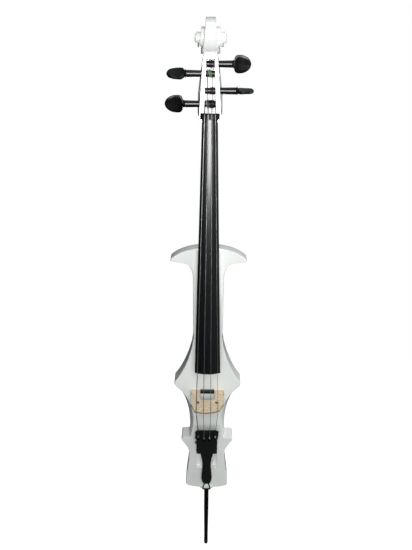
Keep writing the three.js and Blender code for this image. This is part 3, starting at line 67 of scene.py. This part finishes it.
# Camera. It stands 1.2 m in front of the scroll, as high as its top, and looks down the instrument at a slope of 24
# degrees, so that the picture holds it from scroll to endpin.
camera_place = Vector((2.4, -1231.1, 1173.1)) * MM
camera_yaw, camera_pitch, camera_roll = (math.radians(a) for a in (-0.38, 23.91, 0.45))
picture_height, focal_length = 36, 37.70
forward = Vector((
    math.sin(camera_yaw) * math.cos(camera_pitch),
    math.cos(camera_yaw) * math.cos(camera_pitch),
    -math.sin(camera_pitch),
))
level = Vector((math.cos(camera_yaw), -math.sin(camera_yaw), 0))
right = Matrix.Rotation(-camera_roll, 3, forward) @ level
camera_data = bpy.data.cameras.new("camera")
camera_data.sensor_fit = "VERTICAL"
camera_data.sensor_height = picture_height
camera_data.lens = focal_length
camera = bpy.data.objects.new("camera", camera_data)
turn = Matrix((right, right.cross(forward), -forward)).transposed().to_4x4()
camera.matrix_world = Matrix.Translation(camera_place) @ turn
bpy.context.scene.collection.objects.link(camera)
bpy.context.scene.camera = camera
bpy.context.scene.view_settings.view_transform = "Standard"


# Studio. A pale floor under the endpin's tip and a surround that the camera sees as white. One soft lamp stands behind
# the camera, so that the fingerboard mirrors it, one hangs overhead, one stands on the right and one behind.
def colour(code):
    """An sRGB hex colour as a linear one."""
    parts = [int(code[i:i + 2], 16) / 255 for i in (1, 3, 5)]
    return [c / 12.92 if c <= 0.04045 else ((c + 0.055) / 1.055) ** 2.4 for c in parts] + [1]


def feed(tree, made, inputs):
    """Inputs of a node, by name or number, each from a value, an output, or another node's first output."""
    for socket, value in inputs:
        if isinstance(value, bpy.types.Node):
            value = value.outputs[0]
        if isinstance(value, bpy.types.NodeSocket):
            tree.links.new(value, made.inputs[socket])
        else:
            made.inputs[socket].default_value = value


def put(tree, kind, inputs=(), stops=(), **settings):
    """One more node of a material, with its settings, its inputs, and a ramp's stops as (place, sRGB hex code)."""
    made = tree.nodes.new(kind)
    for name, value in settings.items():
        if name in made.bl_rna.properties:
            setattr(made, name, value)
        else:
            made.inputs[name.replace("_", " ")].default_value = value
    feed(tree, made, inputs)
    for i, (place, code) in enumerate(stops):
        stop = made.color_ramp.elements[i] if i < 2 else made.color_ramp.elements.new(place)
        stop.position = place
        stop.color = colour(code)
    return made


def bare_mesh(name, shape):
    """A new object from a bmesh, which is used up."""
    mesh = bpy.data.meshes.new(name)
    shape.to_mesh(mesh)
    shape.free()
    made = bpy.data.objects.new(name, mesh)
    bpy.context.scene.collection.objects.link(made)
    return made


def lamp(name, place, aim, width, height, power):
    """A soft oblong lamp that points at a place and doesn't show itself."""
    data = bpy.data.lights.new(name, "AREA")
    data.shape = "RECTANGLE"
    data.size = width
    data.size_y = height
    data.energy = power
    made = bpy.data.objects.new(name, data)
    made.location = place
    made.rotation_euler = (Vector(aim) - Vector(place)).to_track_quat("-Z", "Y").to_euler()
    made.visible_camera = False
    bpy.context.scene.collection.objects.link(made)


white = (1, 1, 1, 1)
floor_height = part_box("endpin_tip")[0].z
floor_size = 2
floor_glow = 0.97
shape = bmesh.new()
bmesh.ops.create_grid(shape, x_segments=1, y_segments=1, size=floor_size / 2)
bmesh.ops.translate(shape, vec=(0, 0, floor_height), verts=shape.verts)
floor = bare_mesh("floor", shape)
# Grey studio paint that glows for the camera alone: white to the eye, and a dull grey in the lacquer's mirror
floor_paint = bpy.data.materials.new("pale_studio_floor")
floor_paint.use_nodes = True
tree = floor_paint.node_tree
tree.nodes.clear()
path = put(tree, "ShaderNodeLightPath")
glow = put(tree, "ShaderNodeMath", [(0, path.outputs["Is Camera Ray"]), (1, floor_glow)], operation="MULTIPLY")
paint = put(tree, "ShaderNodeBsdfDiffuse", Color=colour("#7d7f7e"))
light = put(tree, "ShaderNodeEmission", [("Strength", glow)], Color=white)
both = put(tree, "ShaderNodeAddShader", [(0, paint), (1, light)])
put(tree, "ShaderNodeOutputMaterial", [("Surface", both)])
floor.data.materials.append(floor_paint)

# The walls that the lacquer mirrors run from dark on the left to pale on the right, and are brighter towards the
# ceiling. The camera itself sees plain white
wall_stops = [(0, "#171a19"), (0.25, "#343a38"), (0.5, "#5f6865"), (0.75, "#858c89"), (1, "#e9eeec")]
world = bpy.data.worlds.new("white_surround")
bpy.context.scene.world = world
world.use_nodes = True
tree = world.node_tree
tree.nodes.clear()
path = put(tree, "ShaderNodeLightPath")
seen = put(tree, "ShaderNodeMath", [(0, path.outputs["Is Camera Ray"]), (1, path.outputs["Is Transmission Ray"])],
           operation="MAXIMUM")
way = put(tree, "ShaderNodeTexCoord")
sides = put(tree, "ShaderNodeSeparateXYZ", [("Vector", way.outputs["Generated"])])
across = put(tree, "ShaderNodeMapRange", [("Value", sides.outputs["X"])], From_Min=-1, From_Max=1)
walls = put(tree, "ShaderNodeValToRGB", [("Fac", across)], wall_stops)
room = put(tree, "ShaderNodeMix", [("Factor", seen), (6, walls), (7, white)], data_type="RGBA")
up = put(tree, "ShaderNodeMapRange", [("Value", sides.outputs["Z"])], From_Min=-0.5, From_Max=0.9, To_Min=0.2,
         To_Max=1.9)
unseen = put(tree, "ShaderNodeMath", [(0, 1), (1, seen)], operation="SUBTRACT")
lit = put(tree, "ShaderNodeMath", [(0, up), (1, unseen)], operation="MULTIPLY")
strength = put(tree, "ShaderNodeMath", [(0, lit), (1, seen)], operation="MAXIMUM")
around = put(tree, "ShaderNodeBackground", [("Color", room.outputs[2]), ("Strength", strength)])
put(tree, "ShaderNodeOutputWorld", [("Surface", around)])

lamp("front_lamp", (0.03, -1.42, 1.24), (0, 0, 0.97), 0.45, 0.92, 21.5)
lamp("top_lamp", (0, -0.1, 2.7), (0, 0, 0.5), 0.6, 0.6, 2)
lamp("right_fill", (2, -0.1, 0.4), (0, 0, 0.9), 0.9, 0.6, 4.5)
lamp("back_fill", (0, 1.9, 0.4), (0, 0, 0.6), 0.9, 0.5, 14)


# Body. One piece of solid wood with knee tabs and chest rest, sawn to its outline, with its edges rounded, under white
# polyester lacquer that is sprayed, sanded flat and polished.
def coated(name, code, roughness, **settings):
    """A material with one shader, its constants on the shader's own sockets."""
    made = bpy.data.materials.new(name)
    made.use_nodes = True
    skin = made.node_tree.nodes["Principled BSDF"]
    skin.inputs["Base Color"].default_value = colour(code)
    skin.inputs["Roughness"].default_value = roughness
    for socket, value in settings.items():
        skin.inputs[socket.replace("_", " ")].default_value = value
    return made, made.node_tree, skin


# Polyester lacquer, polished: a deep clear gloss, with soft clouds about 120 mm wide in its white, and the last trace
# of orange peel, 3 mm from crest to crest
lacquer, tree, skin = coated("white_polyester_lacquer", "#f2f3f1", 0.09, IOR=1.52)
where = put(tree, "ShaderNodeTexCoord").outputs["Object"]
cloud = put(tree, "ShaderNodeTexNoise", [("Vector", where)], Scale=1 / 0.12, Detail=2)
whites = put(tree, "ShaderNodeValToRGB", [("Fac", cloud)], [(0.3, "#eceeec"), (0.7, "#f5f6f4")])
peel = put(tree, "ShaderNodeTexNoise", [("Vector", where)], Scale=1 / 0.003, Detail=1)
bump = put(tree, "ShaderNodeBump", [("Height", peel)], Strength=0.25, Distance=0.00002)
feed(tree, skin, [("Base Color", whites), ("Normal", bump)])

# Corners nearer than the weld gap are one, and faces that bend less than the flat angle in degrees are one
weld_gap = 0.000002
cut_gap = 0.000001
flat_angle = 0.5


def recut(node, name, edge=0, sharp=35, trim=None):
    """A welded copy of a CAD node, cut off at a plane, with its sharp edges rounded and its curves shaded smooth."""
    shape = bmesh.new()
    shape.from_mesh(nodes[node].data)
    bmesh.ops.remove_doubles(shape, verts=shape.verts, dist=weld_gap)
    if trim:
        cut = bmesh.ops.bisect_plane(shape, geom=shape.verts[:] + shape.edges[:] + shape.faces[:], dist=cut_gap,
                                     plane_co=trim[0], plane_no=trim[1], clear_outer=True)
        rim = [e for e in cut["geom_cut"] if isinstance(e, bmesh.types.BMEdge)]
        bmesh.ops.contextual_create(shape, geom=rim)
    bmesh.ops.dissolve_limit(shape, angle_limit=math.radians(flat_angle), verts=shape.verts, edges=shape.edges)
    if edge:
        corners = [e for e in shape.edges if e.is_manifold and e.calc_face_angle() > math.radians(sharp)]
        bmesh.ops.bevel(shape, geom=corners, offset=edge, offset_type="OFFSET", affect="EDGES", segments=2,
                        profile=0.5, material=-1, clamp_overlap=True)
    made = bare_mesh(name, shape)
    made.data.shade_smooth()
    made.data.set_sharp_from_angle(angle=math.radians(sharp))
    soften = made.modifiers.new("even_shading", "WEIGHTED_NORMAL")
    soften.keep_sharp = True
    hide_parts(node)
    return made


def settle(made, body, material):
    """The piece rides on its body and takes its finish."""
    made.data.materials.clear()
    made.data.materials.append(material)
    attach(made, body)


# The waist's sides are cut back towards the front, to make way for the bow, most of all beside the bridge
lacquered_body = recut("body", "lacquered_body", 0.6 * MM)
body_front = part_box("body")[0].y
edge_round, shoulder, side_from, leeway = 3.5 * MM, 1.2 * MM, 30 * MM, 0.1 * MM
waist_low, waist_full_low, waist_full_high, waist_high = (z * MM for z in (160, 228, 295, 334))
cut_width, cut_depth = 10 * MM, 17 * MM
for corner in lacquered_body.data.vertices:
    share = min((corner.co.z - waist_low) / (waist_full_low - waist_low),
                (waist_high - corner.co.z) / (waist_high - waist_full_high), 1)
    depth = corner.co.y - body_front
    if share <= 0 or depth > edge_round + leeway or abs(corner.co.x) < side_from:
        continue
    in_cut = min((edge_round - depth) / (edge_round - shoulder), 1)
    corner.co.x -= math.copysign(cut_width * in_cut * share, corner.co.x)
    corner.co.y += cut_depth * (1 - in_cut) * share
settle(lacquered_body, "instrument", lacquer)


# Neck, pegbox and scroll. One piece of carved wood in the same lacquer as the body. The scroll is a fluted band
# that winds in to a round eye, and each turn stands further out than the last.
crease_angle = 40


def rings_to_mesh(name, shells):
    """A new object of closed shells, bridged from ring to ring of points, with a face on either end."""
    shape = bmesh.new()
    for rings in shells:
        loops = []
        for ring in rings:
            corners = [shape.verts.new(point) for point in ring]
            loops.append([shape.edges.new((corners[i - 1], corners[i])) for i in range(len(corners))])
        for low, high in zip(loops, loops[1:]):
            bmesh.ops.bridge_loops(shape, edges=low + high)
        for rim in (loops[0], loops[-1]):
            bmesh.ops.contextual_create(shape, geom=rim)
    bmesh.ops.recalc_face_normals(shape, faces=shape.faces)
    made = bare_mesh(name, shape)
    made.data.shade_smooth()
    made.data.set_sharp_from_angle(angle=math.radians(crease_angle))
    soften = made.modifiers.new("even_shading", "WEIGHTED_NORMAL")
    soften.keep_sharp = True
    return made


def smooth_through(stations, place):
    """The values of a table at a place, on a smooth curve through its rows, whose first column is the place."""
    last = len(stations) - 2
    i = min(max(sum(row[0] <= place for row in stations) - 1, 0), last)
    before, low, high, after = (stations[min(max(k, 0), last + 1)] for k in (i - 1, i, i + 1, i + 2))
    span = high[0] - low[0]
    share = (place - low[0]) / span
    values = []
    for k in range(1, len(low)):
        rise_in = (high[k] - before[k]) / (high[0] - before[0]) * span
        rise_out = (after[k] - low[k]) / (after[0] - low[0]) * span
        values.append((2 * share ** 3 - 3 * share ** 2 + 1) * low[k] + (share ** 3 - 2 * share ** 2 + share) * rise_in
                      + (3 * share ** 2 - 2 * share ** 3) * high[k] + (share ** 3 - share ** 2) * rise_out)
    return values


# The neck's own lines, in mm: the nut's foot, and the ways back from the board and up along it
neck_foot = Vector((0, -23.8836, 986.4998))
neck_back = Vector((0, 0.995209, -0.097772))
neck_up = Vector((0, 0.097772, 0.995209))


def on_neck(x, back, up):
    """A point by the neck's own lines, in mm: to the side, back from the board, and up from the nut."""
    return (neck_foot + Vector((x, 0, 0)) + neck_back * back + neck_up * up) * MM


# The throat under the scroll, by height up from the nut: half its width, its front, its back, half its back's width
throat_low = 121
throat_stations = [(throat_low, 15.21, 4.34, 34.8, 15.78), (129, 13.4, 7.1, 41.6, 13.6), (138, 11.5, 10, 49, 11.5),
                   (146, 10.5, 13.1, 53, 10.5), (154, 9.8, 16, 55.6, 9.8)]
throat_round = 0.3
throat = []
for height, half, front, back, far_half in throat_stations:
    edge = half * throat_round
    flank = [(half * 0.95, front + 0.3), (half, front + (back - front) * 0.4), (far_half, back - edge),
             (far_half - edge, back)]
    outline = flank + [(-x, y) for x, y in reversed(flank)]
    throat.append([on_neck(x, y, height) for x, y in outline])
# The scroll's band: its outer radius, what a turn leaves of it, its middle, and half its width by turns
scroll_radius, scroll_shrink, scroll_back, scroll_up = 40, 0.56, 22, 155.2
scroll_widths = [(-0.25, 10), (0, 9.85), (0.25, 12.4), (0.5, 19.4), (0.75, 19.2), (1, 19.1), (1.25, 21.2), (1.5, 26),
                 (1.75, 27), (2, 27.9), (2.25, 29)]
scroll_start, scroll_turns, band_steps, rim_steps = -0.25, 2.5, 180, 4
scroll_eye_radius, scroll_eye_half, eye_around, eye_cover, lap = 9.6, 32.3, 48, 0.9, 0.4
# Its carving, each at most so many mm and at most that share of the band: flute and chamfer of the sides, hollow rim
flute_depth, chamfer_size, hollow_depth = 2.6, 1.1, 0.8
flute_share, chamfer_share, hollow_share = 0.16, 0.12, 0.05
band = []
for i in range(band_steps + 1):
    turns = scroll_start + scroll_turns * i / band_steps
    half = smooth_through(scroll_widths, turns)[0]
    rim = scroll_radius * scroll_shrink ** turns
    inside = max(rim * scroll_shrink, scroll_eye_radius * eye_cover) - lap
    wide = rim - inside
    flute = min(flute_depth, flute_share * wide)
    chamfer = min(chamfer_size, chamfer_share * wide)
    hollow = min(hollow_depth, hollow_share * half)
    face = [(rim - chamfer, half), (rim - chamfer * 2.2, half - flute * 0.25), (rim - wide * 0.35, half - flute * 0.8),
            (rim - wide * 0.55, half - flute), (rim - wide * 0.78, half - flute * 0.8), (inside, half - flute * 0.35)]
    front = [(rim - hollow * math.sin(math.pi * k / rim_steps) ** 2, (half - chamfer) * (1 - k / rim_steps))
             for k in range(rim_steps + 1)]
    outline = front + [(r, -x) for r, x in reversed(front[:-1])]
    outline = outline + [(r, -x) for r, x in face] + [(r, x) for r, x in reversed(face)]
    angle = 2 * math.pi * turns
    band.append([on_neck(x, scroll_back - r * math.sin(angle), scroll_up + r * math.cos(angle)) for r, x in outline])
# The eye, by radius and the share of its half width
eye_profile = [(0.4, 1), (3, 0.996), (6, 0.985), (8, 0.965), (9, 0.945), (scroll_eye_radius, 0.91)]
eye_profile = eye_profile + [(r, -x) for r, x in reversed(eye_profile)]
eye = []
for radius, share in eye_profile:
    angles = [2 * math.pi * k / eye_around for k in range(eye_around)]
    eye.append([on_neck(scroll_eye_half * share, scroll_back + radius * math.cos(angle),
                        scroll_up + radius * math.sin(angle)) for angle in angles])
scroll = rings_to_mesh("carved_scroll", [throat, band, eye])
settle(scroll, "instrument", lacquer)
neck = recut("neck", "carved_neck", 0.5 * MM, trim=(on_neck(0, 0, throat_low), neck_up))
settle(neck, "instrument", lacquer)
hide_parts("neck")


# Fingerboard, nut, tailpiece and endpin plug. Solid ebony, planed or turned to shape. The fingerboard is scraped and
# oiled, the rest is polished with wax, and all but the tailpiece, which hangs in the strings, are glued in place.
def with_pores(wood, along, pore, codes, depth, strength):
    """Ebony's material with pores of a width in metres, drawn out along the grain, in two near blacks."""
    made, tree, skin = wood
    source = put(tree, "ShaderNodeTexCoord").outputs["Object"]
    drawn = put(tree, "ShaderNodeMapping", [("Vector", source)], Scale=along)
    grain = put(tree, "ShaderNodeTexNoise", [("Vector", drawn)], Scale=1 / pore, Detail=3)
    blacks = put(tree, "ShaderNodeValToRGB", [("Fac", grain)], [(0.35, codes[0]), (0.75, codes[1])])
    bump = put(tree, "ShaderNodeBump", [("Height", grain)], Strength=strength, Distance=depth)
    feed(tree, skin, [("Base Color", blacks), ("Normal", bump)])
    return made


# Both have fine pores 1.6 mm apart, drawn out 25 times as long. Waxed ebony is a soft deep black with little shine,
# and oiled ebony mirrors the lamp in one long clear streak
up_the_grain = (1, 1, 0.04)
waxed_ebony = with_pores(coated("polished_ebony", "#070708", 0.3, IOR=1.5, Specular_IOR_Level=0.22),
                         up_the_grain, 0.0016, ("#050506", "#0e0d10"), 0.00004, 0.4)
board_ebony = with_pores(coated("oiled_board_ebony", "#0b0b0c", 0.22, IOR=1.6, Specular_IOR_Level=0.58),
                         up_the_grain, 0.0016, ("#060608", "#131215"), 0.00003, 0.3)
ebony_edge = 0.5 * MM
settle(recut("fingerboard", "fingerboard_ebony", ebony_edge), "instrument", board_ebony)
settle(recut("nut", "nut_ebony", ebony_edge), "instrument", waxed_ebony)
settle(recut("tailpiece", "tailpiece_ebony", ebony_edge), "instrument", waxed_ebony)
settle(recut("endpin_plug", "plug_ebony", ebony_edge), "instrument", waxed_ebony)

# Bridge. Quarter sawn maple, cut and scraped by hand and left bare. It stands on its feet, held by the strings alone.
# The maple is matt and creamy, with silky darker flecks 2 mm wide. Its sawn sides are painted darker than the
# planed faces, partly for end grain's own tone and partly as painted shade on its edges.
maple, tree, skin = coated("bare_maple", "#dcc8a4", 0.5)
source = put(tree, "ShaderNodeTexCoord").outputs["Object"]
drawn = put(tree, "ShaderNodeMapping", [("Vector", source)], Scale=(0.4, 1, 1.6))
rays = put(tree, "ShaderNodeTexNoise", [("Vector", drawn)], Scale=1 / 0.0022, Detail=3)
creams = put(tree, "ShaderNodeValToRGB", [("Fac", rays)], [(0.32, "#c7a988"), (0.51, "#e2ccb0"), (0.7, "#f0e2cb")])
bump = put(tree, "ShaderNodeBump", [("Height", rays)], Strength=0.4, Distance=0.00005)
facing = put(tree, "ShaderNodeSeparateXYZ", [("Vector", put(tree, "ShaderNodeNewGeometry").outputs["Normal"])])
planed = put(tree, "ShaderNodeMath", [(0, facing.outputs["Z"])], operation="ABSOLUTE")
sawn = put(tree, "ShaderNodeMath", [(0, 1), (1, planed)], operation="SUBTRACT")
# Painted shade: every side that doesn't face along the strings is darkened, on top of end grain's own tone
end_grain_and_shade = put(tree, "ShaderNodeMapRange", [("Value", sawn)], From_Min=0.35, From_Max=0.8, To_Max=0.75)
wood = put(tree, "ShaderNodeMix", [("Factor", end_grain_and_shade), (6, creams), (7, colour("#5d4a30"))], data_type="RGBA")
feed(tree, skin, [("Base Color", wood.outputs[2]), ("Normal", bump)])
settle(recut("bridge", "bridge_maple", 0.4 * MM), "instrument", maple)

# Pegs. Turned ebony shafts with a collar ring, and carved, dished heads with a full rim, polished by hand. Each is
# pushed into tapered holes in the pegbox's walls.
# Polished ebony: near black with a small clear highlight, and pores 1.4 mm apart that run along the shaft
peg_ebony = with_pores(coated("turned_ebony", "#0b0b0c", 0.2, IOR=1.5, Specular_IOR_Level=0.42),
                       (0.05, 1, 1), 0.0014, ("#060608", "#141316"), 0.00003, 0.4)
# Each is its place, the side of its head, the head's turn, the wall it passes, its reach to the collar and its head's
# length. The place is (y, z), lengths are in mm and the turn is in degrees
peg_facts = {
    "c": ((-6.0611, 1014.4954), -1, 76, 22.11, 33.32, 38.16),
    "g": ((-0.3028, 1073.1093), -1, 144, 18.04, 34.34, 36.72),
    "d": ((1.5064, 1091.5246), 1, 104, 16.51, 30.6, 34.92),
    "a": ((-3.5292, 1040.2674), 1, 14, 20.35, 35.87, 32.76),
}
# Along the shaft from the wall, and then from the collar: place and radius
shaft_profile = [(-0.2, 5.3), (0.1, 5.7)]
collar_profile = [(-4.2, 7.15), (-3.6, 6.5), (-3, 6.9), (-2.5, 8.1), (-1.6, 8.6), (-0.8, 8.3), (-0.2, 7.2)]
# Along the head, by the share of its length: half its height, half its thickness, and how far it is dished
head_stations = [(0, 6.4, 6.4, 0), (0.03, 11.3, 5.9, 0.2), (0.07, 14.5, 5.4, 0.5), (0.13, 16.6, 4.8, 0.8),
                 (0.22, 17.6, 4, 1), (0.36, 17.85, 3.4, 1), (0.52, 17.2, 3.2, 1), (0.67, 15.4, 3.8, 1),
                 (0.8, 12.5, 4.4, 1), (0.9, 9.1, 4.5, 0.9), (0.965, 5.5, 3.6, 0.6), (1, 1.9, 1.7, 0.2)]
peg_around, head_steps, head_crowding = 36, 30, 1.25
rim_fullness, dish_share = 0.6, 0.3
for key, (place, side, head_turn, wall, reach, head_length) in peg_facts.items():
    collar = wall + reach
    rows = [(-wall + along, radius, radius, 0) for along, radius in shaft_profile]
    rows += [(collar + along, radius, radius, 0) for along, radius in collar_profile]
    for i in range(head_steps + 1):
        share = (i / head_steps) ** head_crowding
        rows.append((collar + head_length * share, *smooth_through(head_stations, share)))
    shell = []
    for along, height, thickness, dish in rows:
        ring = []
        for i in range(peg_around):
            angle = 2 * math.pi * i / peg_around
            across = math.sin(angle)
            full = abs(math.cos(angle)) ** (1 - rim_fullness * dish)
            deep = full * (1 - dish_share * dish * (1 - across ** 2))
            point = Vector((math.copysign(deep, math.cos(angle)) * thickness, height * across, 0))
            point.rotate(Matrix.Rotation(math.radians(head_turn), 3, "Z"))
            lift = neck_up * (-side * point.x) + neck_back * point.y
            ring.append((Vector((side * along, place[0], place[1])) + lift) * MM)
        shell.append(ring)
    peg = rings_to_mesh("peg_ebony_" + key, [shell])
    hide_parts("peg_" + key)
    settle(peg, "peg_" + key, peg_ebony)

# String windings on the pegs. Each string's end is wrapped in fine silk thread of its own colour, and the C string
# still shows some bare steel ribbon in its first loops, on the left.
# Silk thread: matt and speckled, with threads about 0.4 mm wide that lie side by side across the string
silk_codes = {"c": ("#060507", "#141216"), "g": ("#4f7454", "#8fb389"), "d": ("#0c090e", "#463250"),
              "a": ("#1c0e0d", "#56392f")}
thread_count, thread_contrast = 110, 0.22
bare_up_to, bare_shine = -2.6 * MM, 0.8
for key in STRINGS:
    silk, tree, skin = coated("silk_thread_" + key, silk_codes[key][1], 0.75, Specular_IOR_Level=0.2)
    middle = peg_facts[key][0]
    source = put(tree, "ShaderNodeTexCoord").outputs["Object"]
    parts = put(tree, "ShaderNodeSeparateXYZ", [("Vector", source)])
    y = put(tree, "ShaderNodeMath", [(0, parts.outputs["Y"]), (1, middle[0] * MM)], operation="SUBTRACT")
    z = put(tree, "ShaderNodeMath", [(0, parts.outputs["Z"]), (1, middle[1] * MM)], operation="SUBTRACT")
    around = put(tree, "ShaderNodeMath", [(0, z), (1, y)], operation="ARCTAN2")
    count = put(tree, "ShaderNodeMath", [(0, around), (1, thread_count)], operation="MULTIPLY")
    thread = put(tree, "ShaderNodeMath", [(0, count)], operation="SINE")
    speckle = put(tree, "ShaderNodeTexNoise", [("Vector", source)], Scale=1 / 0.002, Detail=2)
    faint = put(tree, "ShaderNodeMath", [(0, thread), (1, thread_contrast)], operation="MULTIPLY")
    shade = put(tree, "ShaderNodeMath", [(0, faint), (1, speckle)], operation="ADD")
    dyes = put(tree, "ShaderNodeValToRGB", [("Fac", shade)], [(0.3, silk_codes[key][0]), (0.7, silk_codes[key][1])])
    bump = put(tree, "ShaderNodeBump", [("Height", thread)], Strength=0.6, Distance=0.00005)
    feed(tree, skin, [("Base Color", dyes), ("Normal", bump)])
    if key == "c":
        bare = put(tree, "ShaderNodeMath", [(0, parts.outputs["X"]), (1, bare_up_to)], operation="LESS_THAN")
        pick = put(tree, "ShaderNodeMix", [("Factor", bare), (6, dyes), (7, colour("#b9babb"))], data_type="RGBA")
        shine = put(tree, "ShaderNodeMath", [(0, bare), (1, bare_shine)], operation="MULTIPLY")
        feed(tree, skin, [("Base Color", pick.outputs[2]), ("Metallic", shine)])
    settle(recut("winding_" + key, "silk_coil_" + key, sharp=80), "peg_" + key, silk)

# Strings. A steel core under flat wound steel ribbon, wrapped in dark silk above the nut. The outer two are also
# painted dark below the bridge, as painted shade. They run from the balls in the fine tuners over bridge and nut to
# the pegs.
# Steel ribbon: bright and a little brushed, with turns 0.5 mm apart. The silk over it and the painted shade are dark
# and dull
ribbon_width = 0.5 * MM
silk_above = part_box("nut")[1].z - 2 * MM
# Below this height the outer two strings take a painted shade
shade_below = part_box("bridge")[0].z - 4 * MM
silk_and_shade_codes = {"c": "#151316", "g": "#2c1c1c", "d": "#2a1a20", "a": "#1e1a1c"}
steel_code, steel_roughness, silk_and_shade_rougher_by = "#a9abad", 0.32, 0.35
for key in STRINGS:
    ribbon, tree, skin = coated("flat_wound_steel_" + key, steel_code, steel_roughness, Metallic=1)
    source = put(tree, "ShaderNodeTexCoord").outputs["Object"]
    height = put(tree, "ShaderNodeSeparateXYZ", [("Vector", source)]).outputs["Z"]
    silk_and_shade = put(tree, "ShaderNodeMath", [(0, height), (1, silk_above)], operation="GREATER_THAN")
    # Painted shade: the C and A strings are darkened below the bridge, where shade lay around them
    if key in "ca":
        low = put(tree, "ShaderNodeMath", [(0, height), (1, shade_below)], operation="LESS_THAN")
        silk_and_shade = put(tree, "ShaderNodeMath", [(0, silk_and_shade), (1, low)], operation="MAXIMUM")
    silk_and_shade_colour = put(tree, "ShaderNodeMix", [("Factor", silk_and_shade), (6, colour(steel_code)), (7, colour(silk_and_shade_codes[key]))],
               data_type="RGBA")
    steel = put(tree, "ShaderNodeMath", [(0, 1), (1, silk_and_shade)], operation="SUBTRACT")
    duller = put(tree, "ShaderNodeMath", [(0, silk_and_shade), (1, silk_and_shade_rougher_by)], operation="MULTIPLY")
    gloss = put(tree, "ShaderNodeMath", [(0, duller), (1, steel_roughness)], operation="ADD")
    climb = put(tree, "ShaderNodeMath", [(0, height), (1, 2 * math.pi / ribbon_width)], operation="MULTIPLY")
    winds = put(tree, "ShaderNodeMath", [(0, climb)], operation="SINE")
    bump = put(tree, "ShaderNodeBump", [("Height", winds)], Strength=0.6, Distance=0.00003)
    feed(tree, skin, [("Base Color", silk_and_shade_colour.outputs[2]), ("Metallic", steel), ("Roughness", gloss), ("Normal", bump)])
    settle(recut("string_" + key, "wound_string_" + key, sharp=80), "instrument", ribbon)


# Fine tuners. Levers and screws of black plated steel on one ground steel pin, built into the tailpiece, and the
# strings' steel balls, which hang in the levers.
def worn(name, code, roughness, size, depth, spread=0.08, **settings):
    """A plain finish whose gloss varies by a fine pattern of the given size, with a bump of that depth."""
    made, tree, skin = coated(name, code, roughness, **settings)
    source = put(tree, "ShaderNodeTexCoord").outputs["Object"]
    fine = put(tree, "ShaderNodeTexNoise", [("Vector", source)], Scale=1 / size, Detail=3)
    gloss = put(tree, "ShaderNodeMapRange", [("Value", fine)], From_Min=0.3, From_Max=0.7,
                To_Min=roughness - spread, To_Max=roughness + spread)
    bump = put(tree, "ShaderNodeBump", [("Height", fine)], Strength=0.5, Distance=depth)
    feed(tree, skin, [("Roughness", gloss), ("Normal", bump)])
    return made


def finished(names, material, edge, sharp=40):
    """Copies of CAD nodes with their edges broken by a length in mm, each on its own body."""
    for node in names:
        settle(recut(node, "finished_" + node, edge * MM, sharp=sharp), nodes[node]["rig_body"], material)


# Black plating on steel: a dark metal shine, a little uneven
black_plating = worn("black_plated_steel", "#1c1e20", 0.3, 0.0006, 0.000006, Metallic=0.9)
# Ground steel: bright grey, with fine marks of the wheel
ground_steel = worn("ground_steel", "#b4b6b8", 0.3, 0.0004, 0.000008, Metallic=1)
finished(["tuner_lever_" + key for key in STRINGS], black_plating, 0.25)
finished(["tuner_screw_" + key for key in STRINGS], black_plating, 0.25)
finished(["tuner_pin"] + ["string_ball_" + key for key in STRINGS], ground_steel, 0.2)

# Tail gut and saddle. A nylon cord loops from the tailpiece round the endpin plug, over a saddle of bone, which is let
# into the body's lower edge.
# Black nylon cord, drawn: smooth, with a soft gloss
black_cord = worn("black_nylon_cord", "#0e0f10", 0.35, 0.001, 0.00001)
# Bone, filed and polished: warm white, with a waxy shine
bone = worn("polished_bone", "#f3efe4", 0.22, 0.0015, 0.00001)
finished(["tail_gut"], black_cord, 0, sharp=80)
finished(["saddle"], bone, 0.5)

# Control box and pickup. A moulded box in the body's pocket under the tailpiece holds a laminate board, two steel
# potentiometers with knobs on its left side and two sockets, and a lead runs up to the pickup at the bridge's feet.
# Black plastic, moulded with a fine spark texture: dark and half matt
black_plastic = worn("moulded_black_plastic", "#111213", 0.45, 0.0005, 0.00002)
# Green circuit laminate under its mask: smooth and a little glossy
laminate = worn("circuit_laminate", "#2e6a44", 0.4, 0.001, 0.00001)
# A lead's soft sheath: black and dull
soft_sheath = worn("soft_black_sheath", "#131314", 0.6, 0.0008, 0.00001)
finished(["preamp_case", "volume_knob", "tone_knob", "pickup"], black_plastic, 0.4)
finished(["preamp_board"], laminate, 0.1)
finished(["volume_pot", "tone_pot"], ground_steel, 0.2)
finished(["output_jack", "headphone_jack"], black_plating, 0.25)
finished(["pickup_lead"], soft_sheath, 0, sharp=80)

# Battery. It lies in a bay in the body's back, under a moulded cover that four black screws hold, and its clip and
# lead join it to the control box.
finished(["battery"], black_plating, 0.25)
finished(["battery_clip", "battery_cover"], black_plastic, 0.4)
finished(["cover_screw_%d" % i for i in range(1, 5)], black_plating, 0.25)
finished(["battery_lead"], soft_sheath, 0, sharp=80)

# Endpin. A tapered steel rod slides in the plug, and a thumbscrew clamps it. It stands on a moulded rubber tip.
# The rod is black chromed: a dark mirror with a slow waver. The rubber is matt and a little rough.
black_chrome = worn("black_chrome_rod", "#202224", 0.24, 0.02, 0.00001, 0.05, Metallic=1)
matt_rubber = worn("matt_black_rubber", "#121212", 0.78, 0.0005, 0.00003)
finished(["clamp_screw"], black_plating, 0.25)
finished(["endpin_rod"], black_chrome, 0.3, sharp=35)
finished(["endpin_tip"], matt_rubber, 0.3)
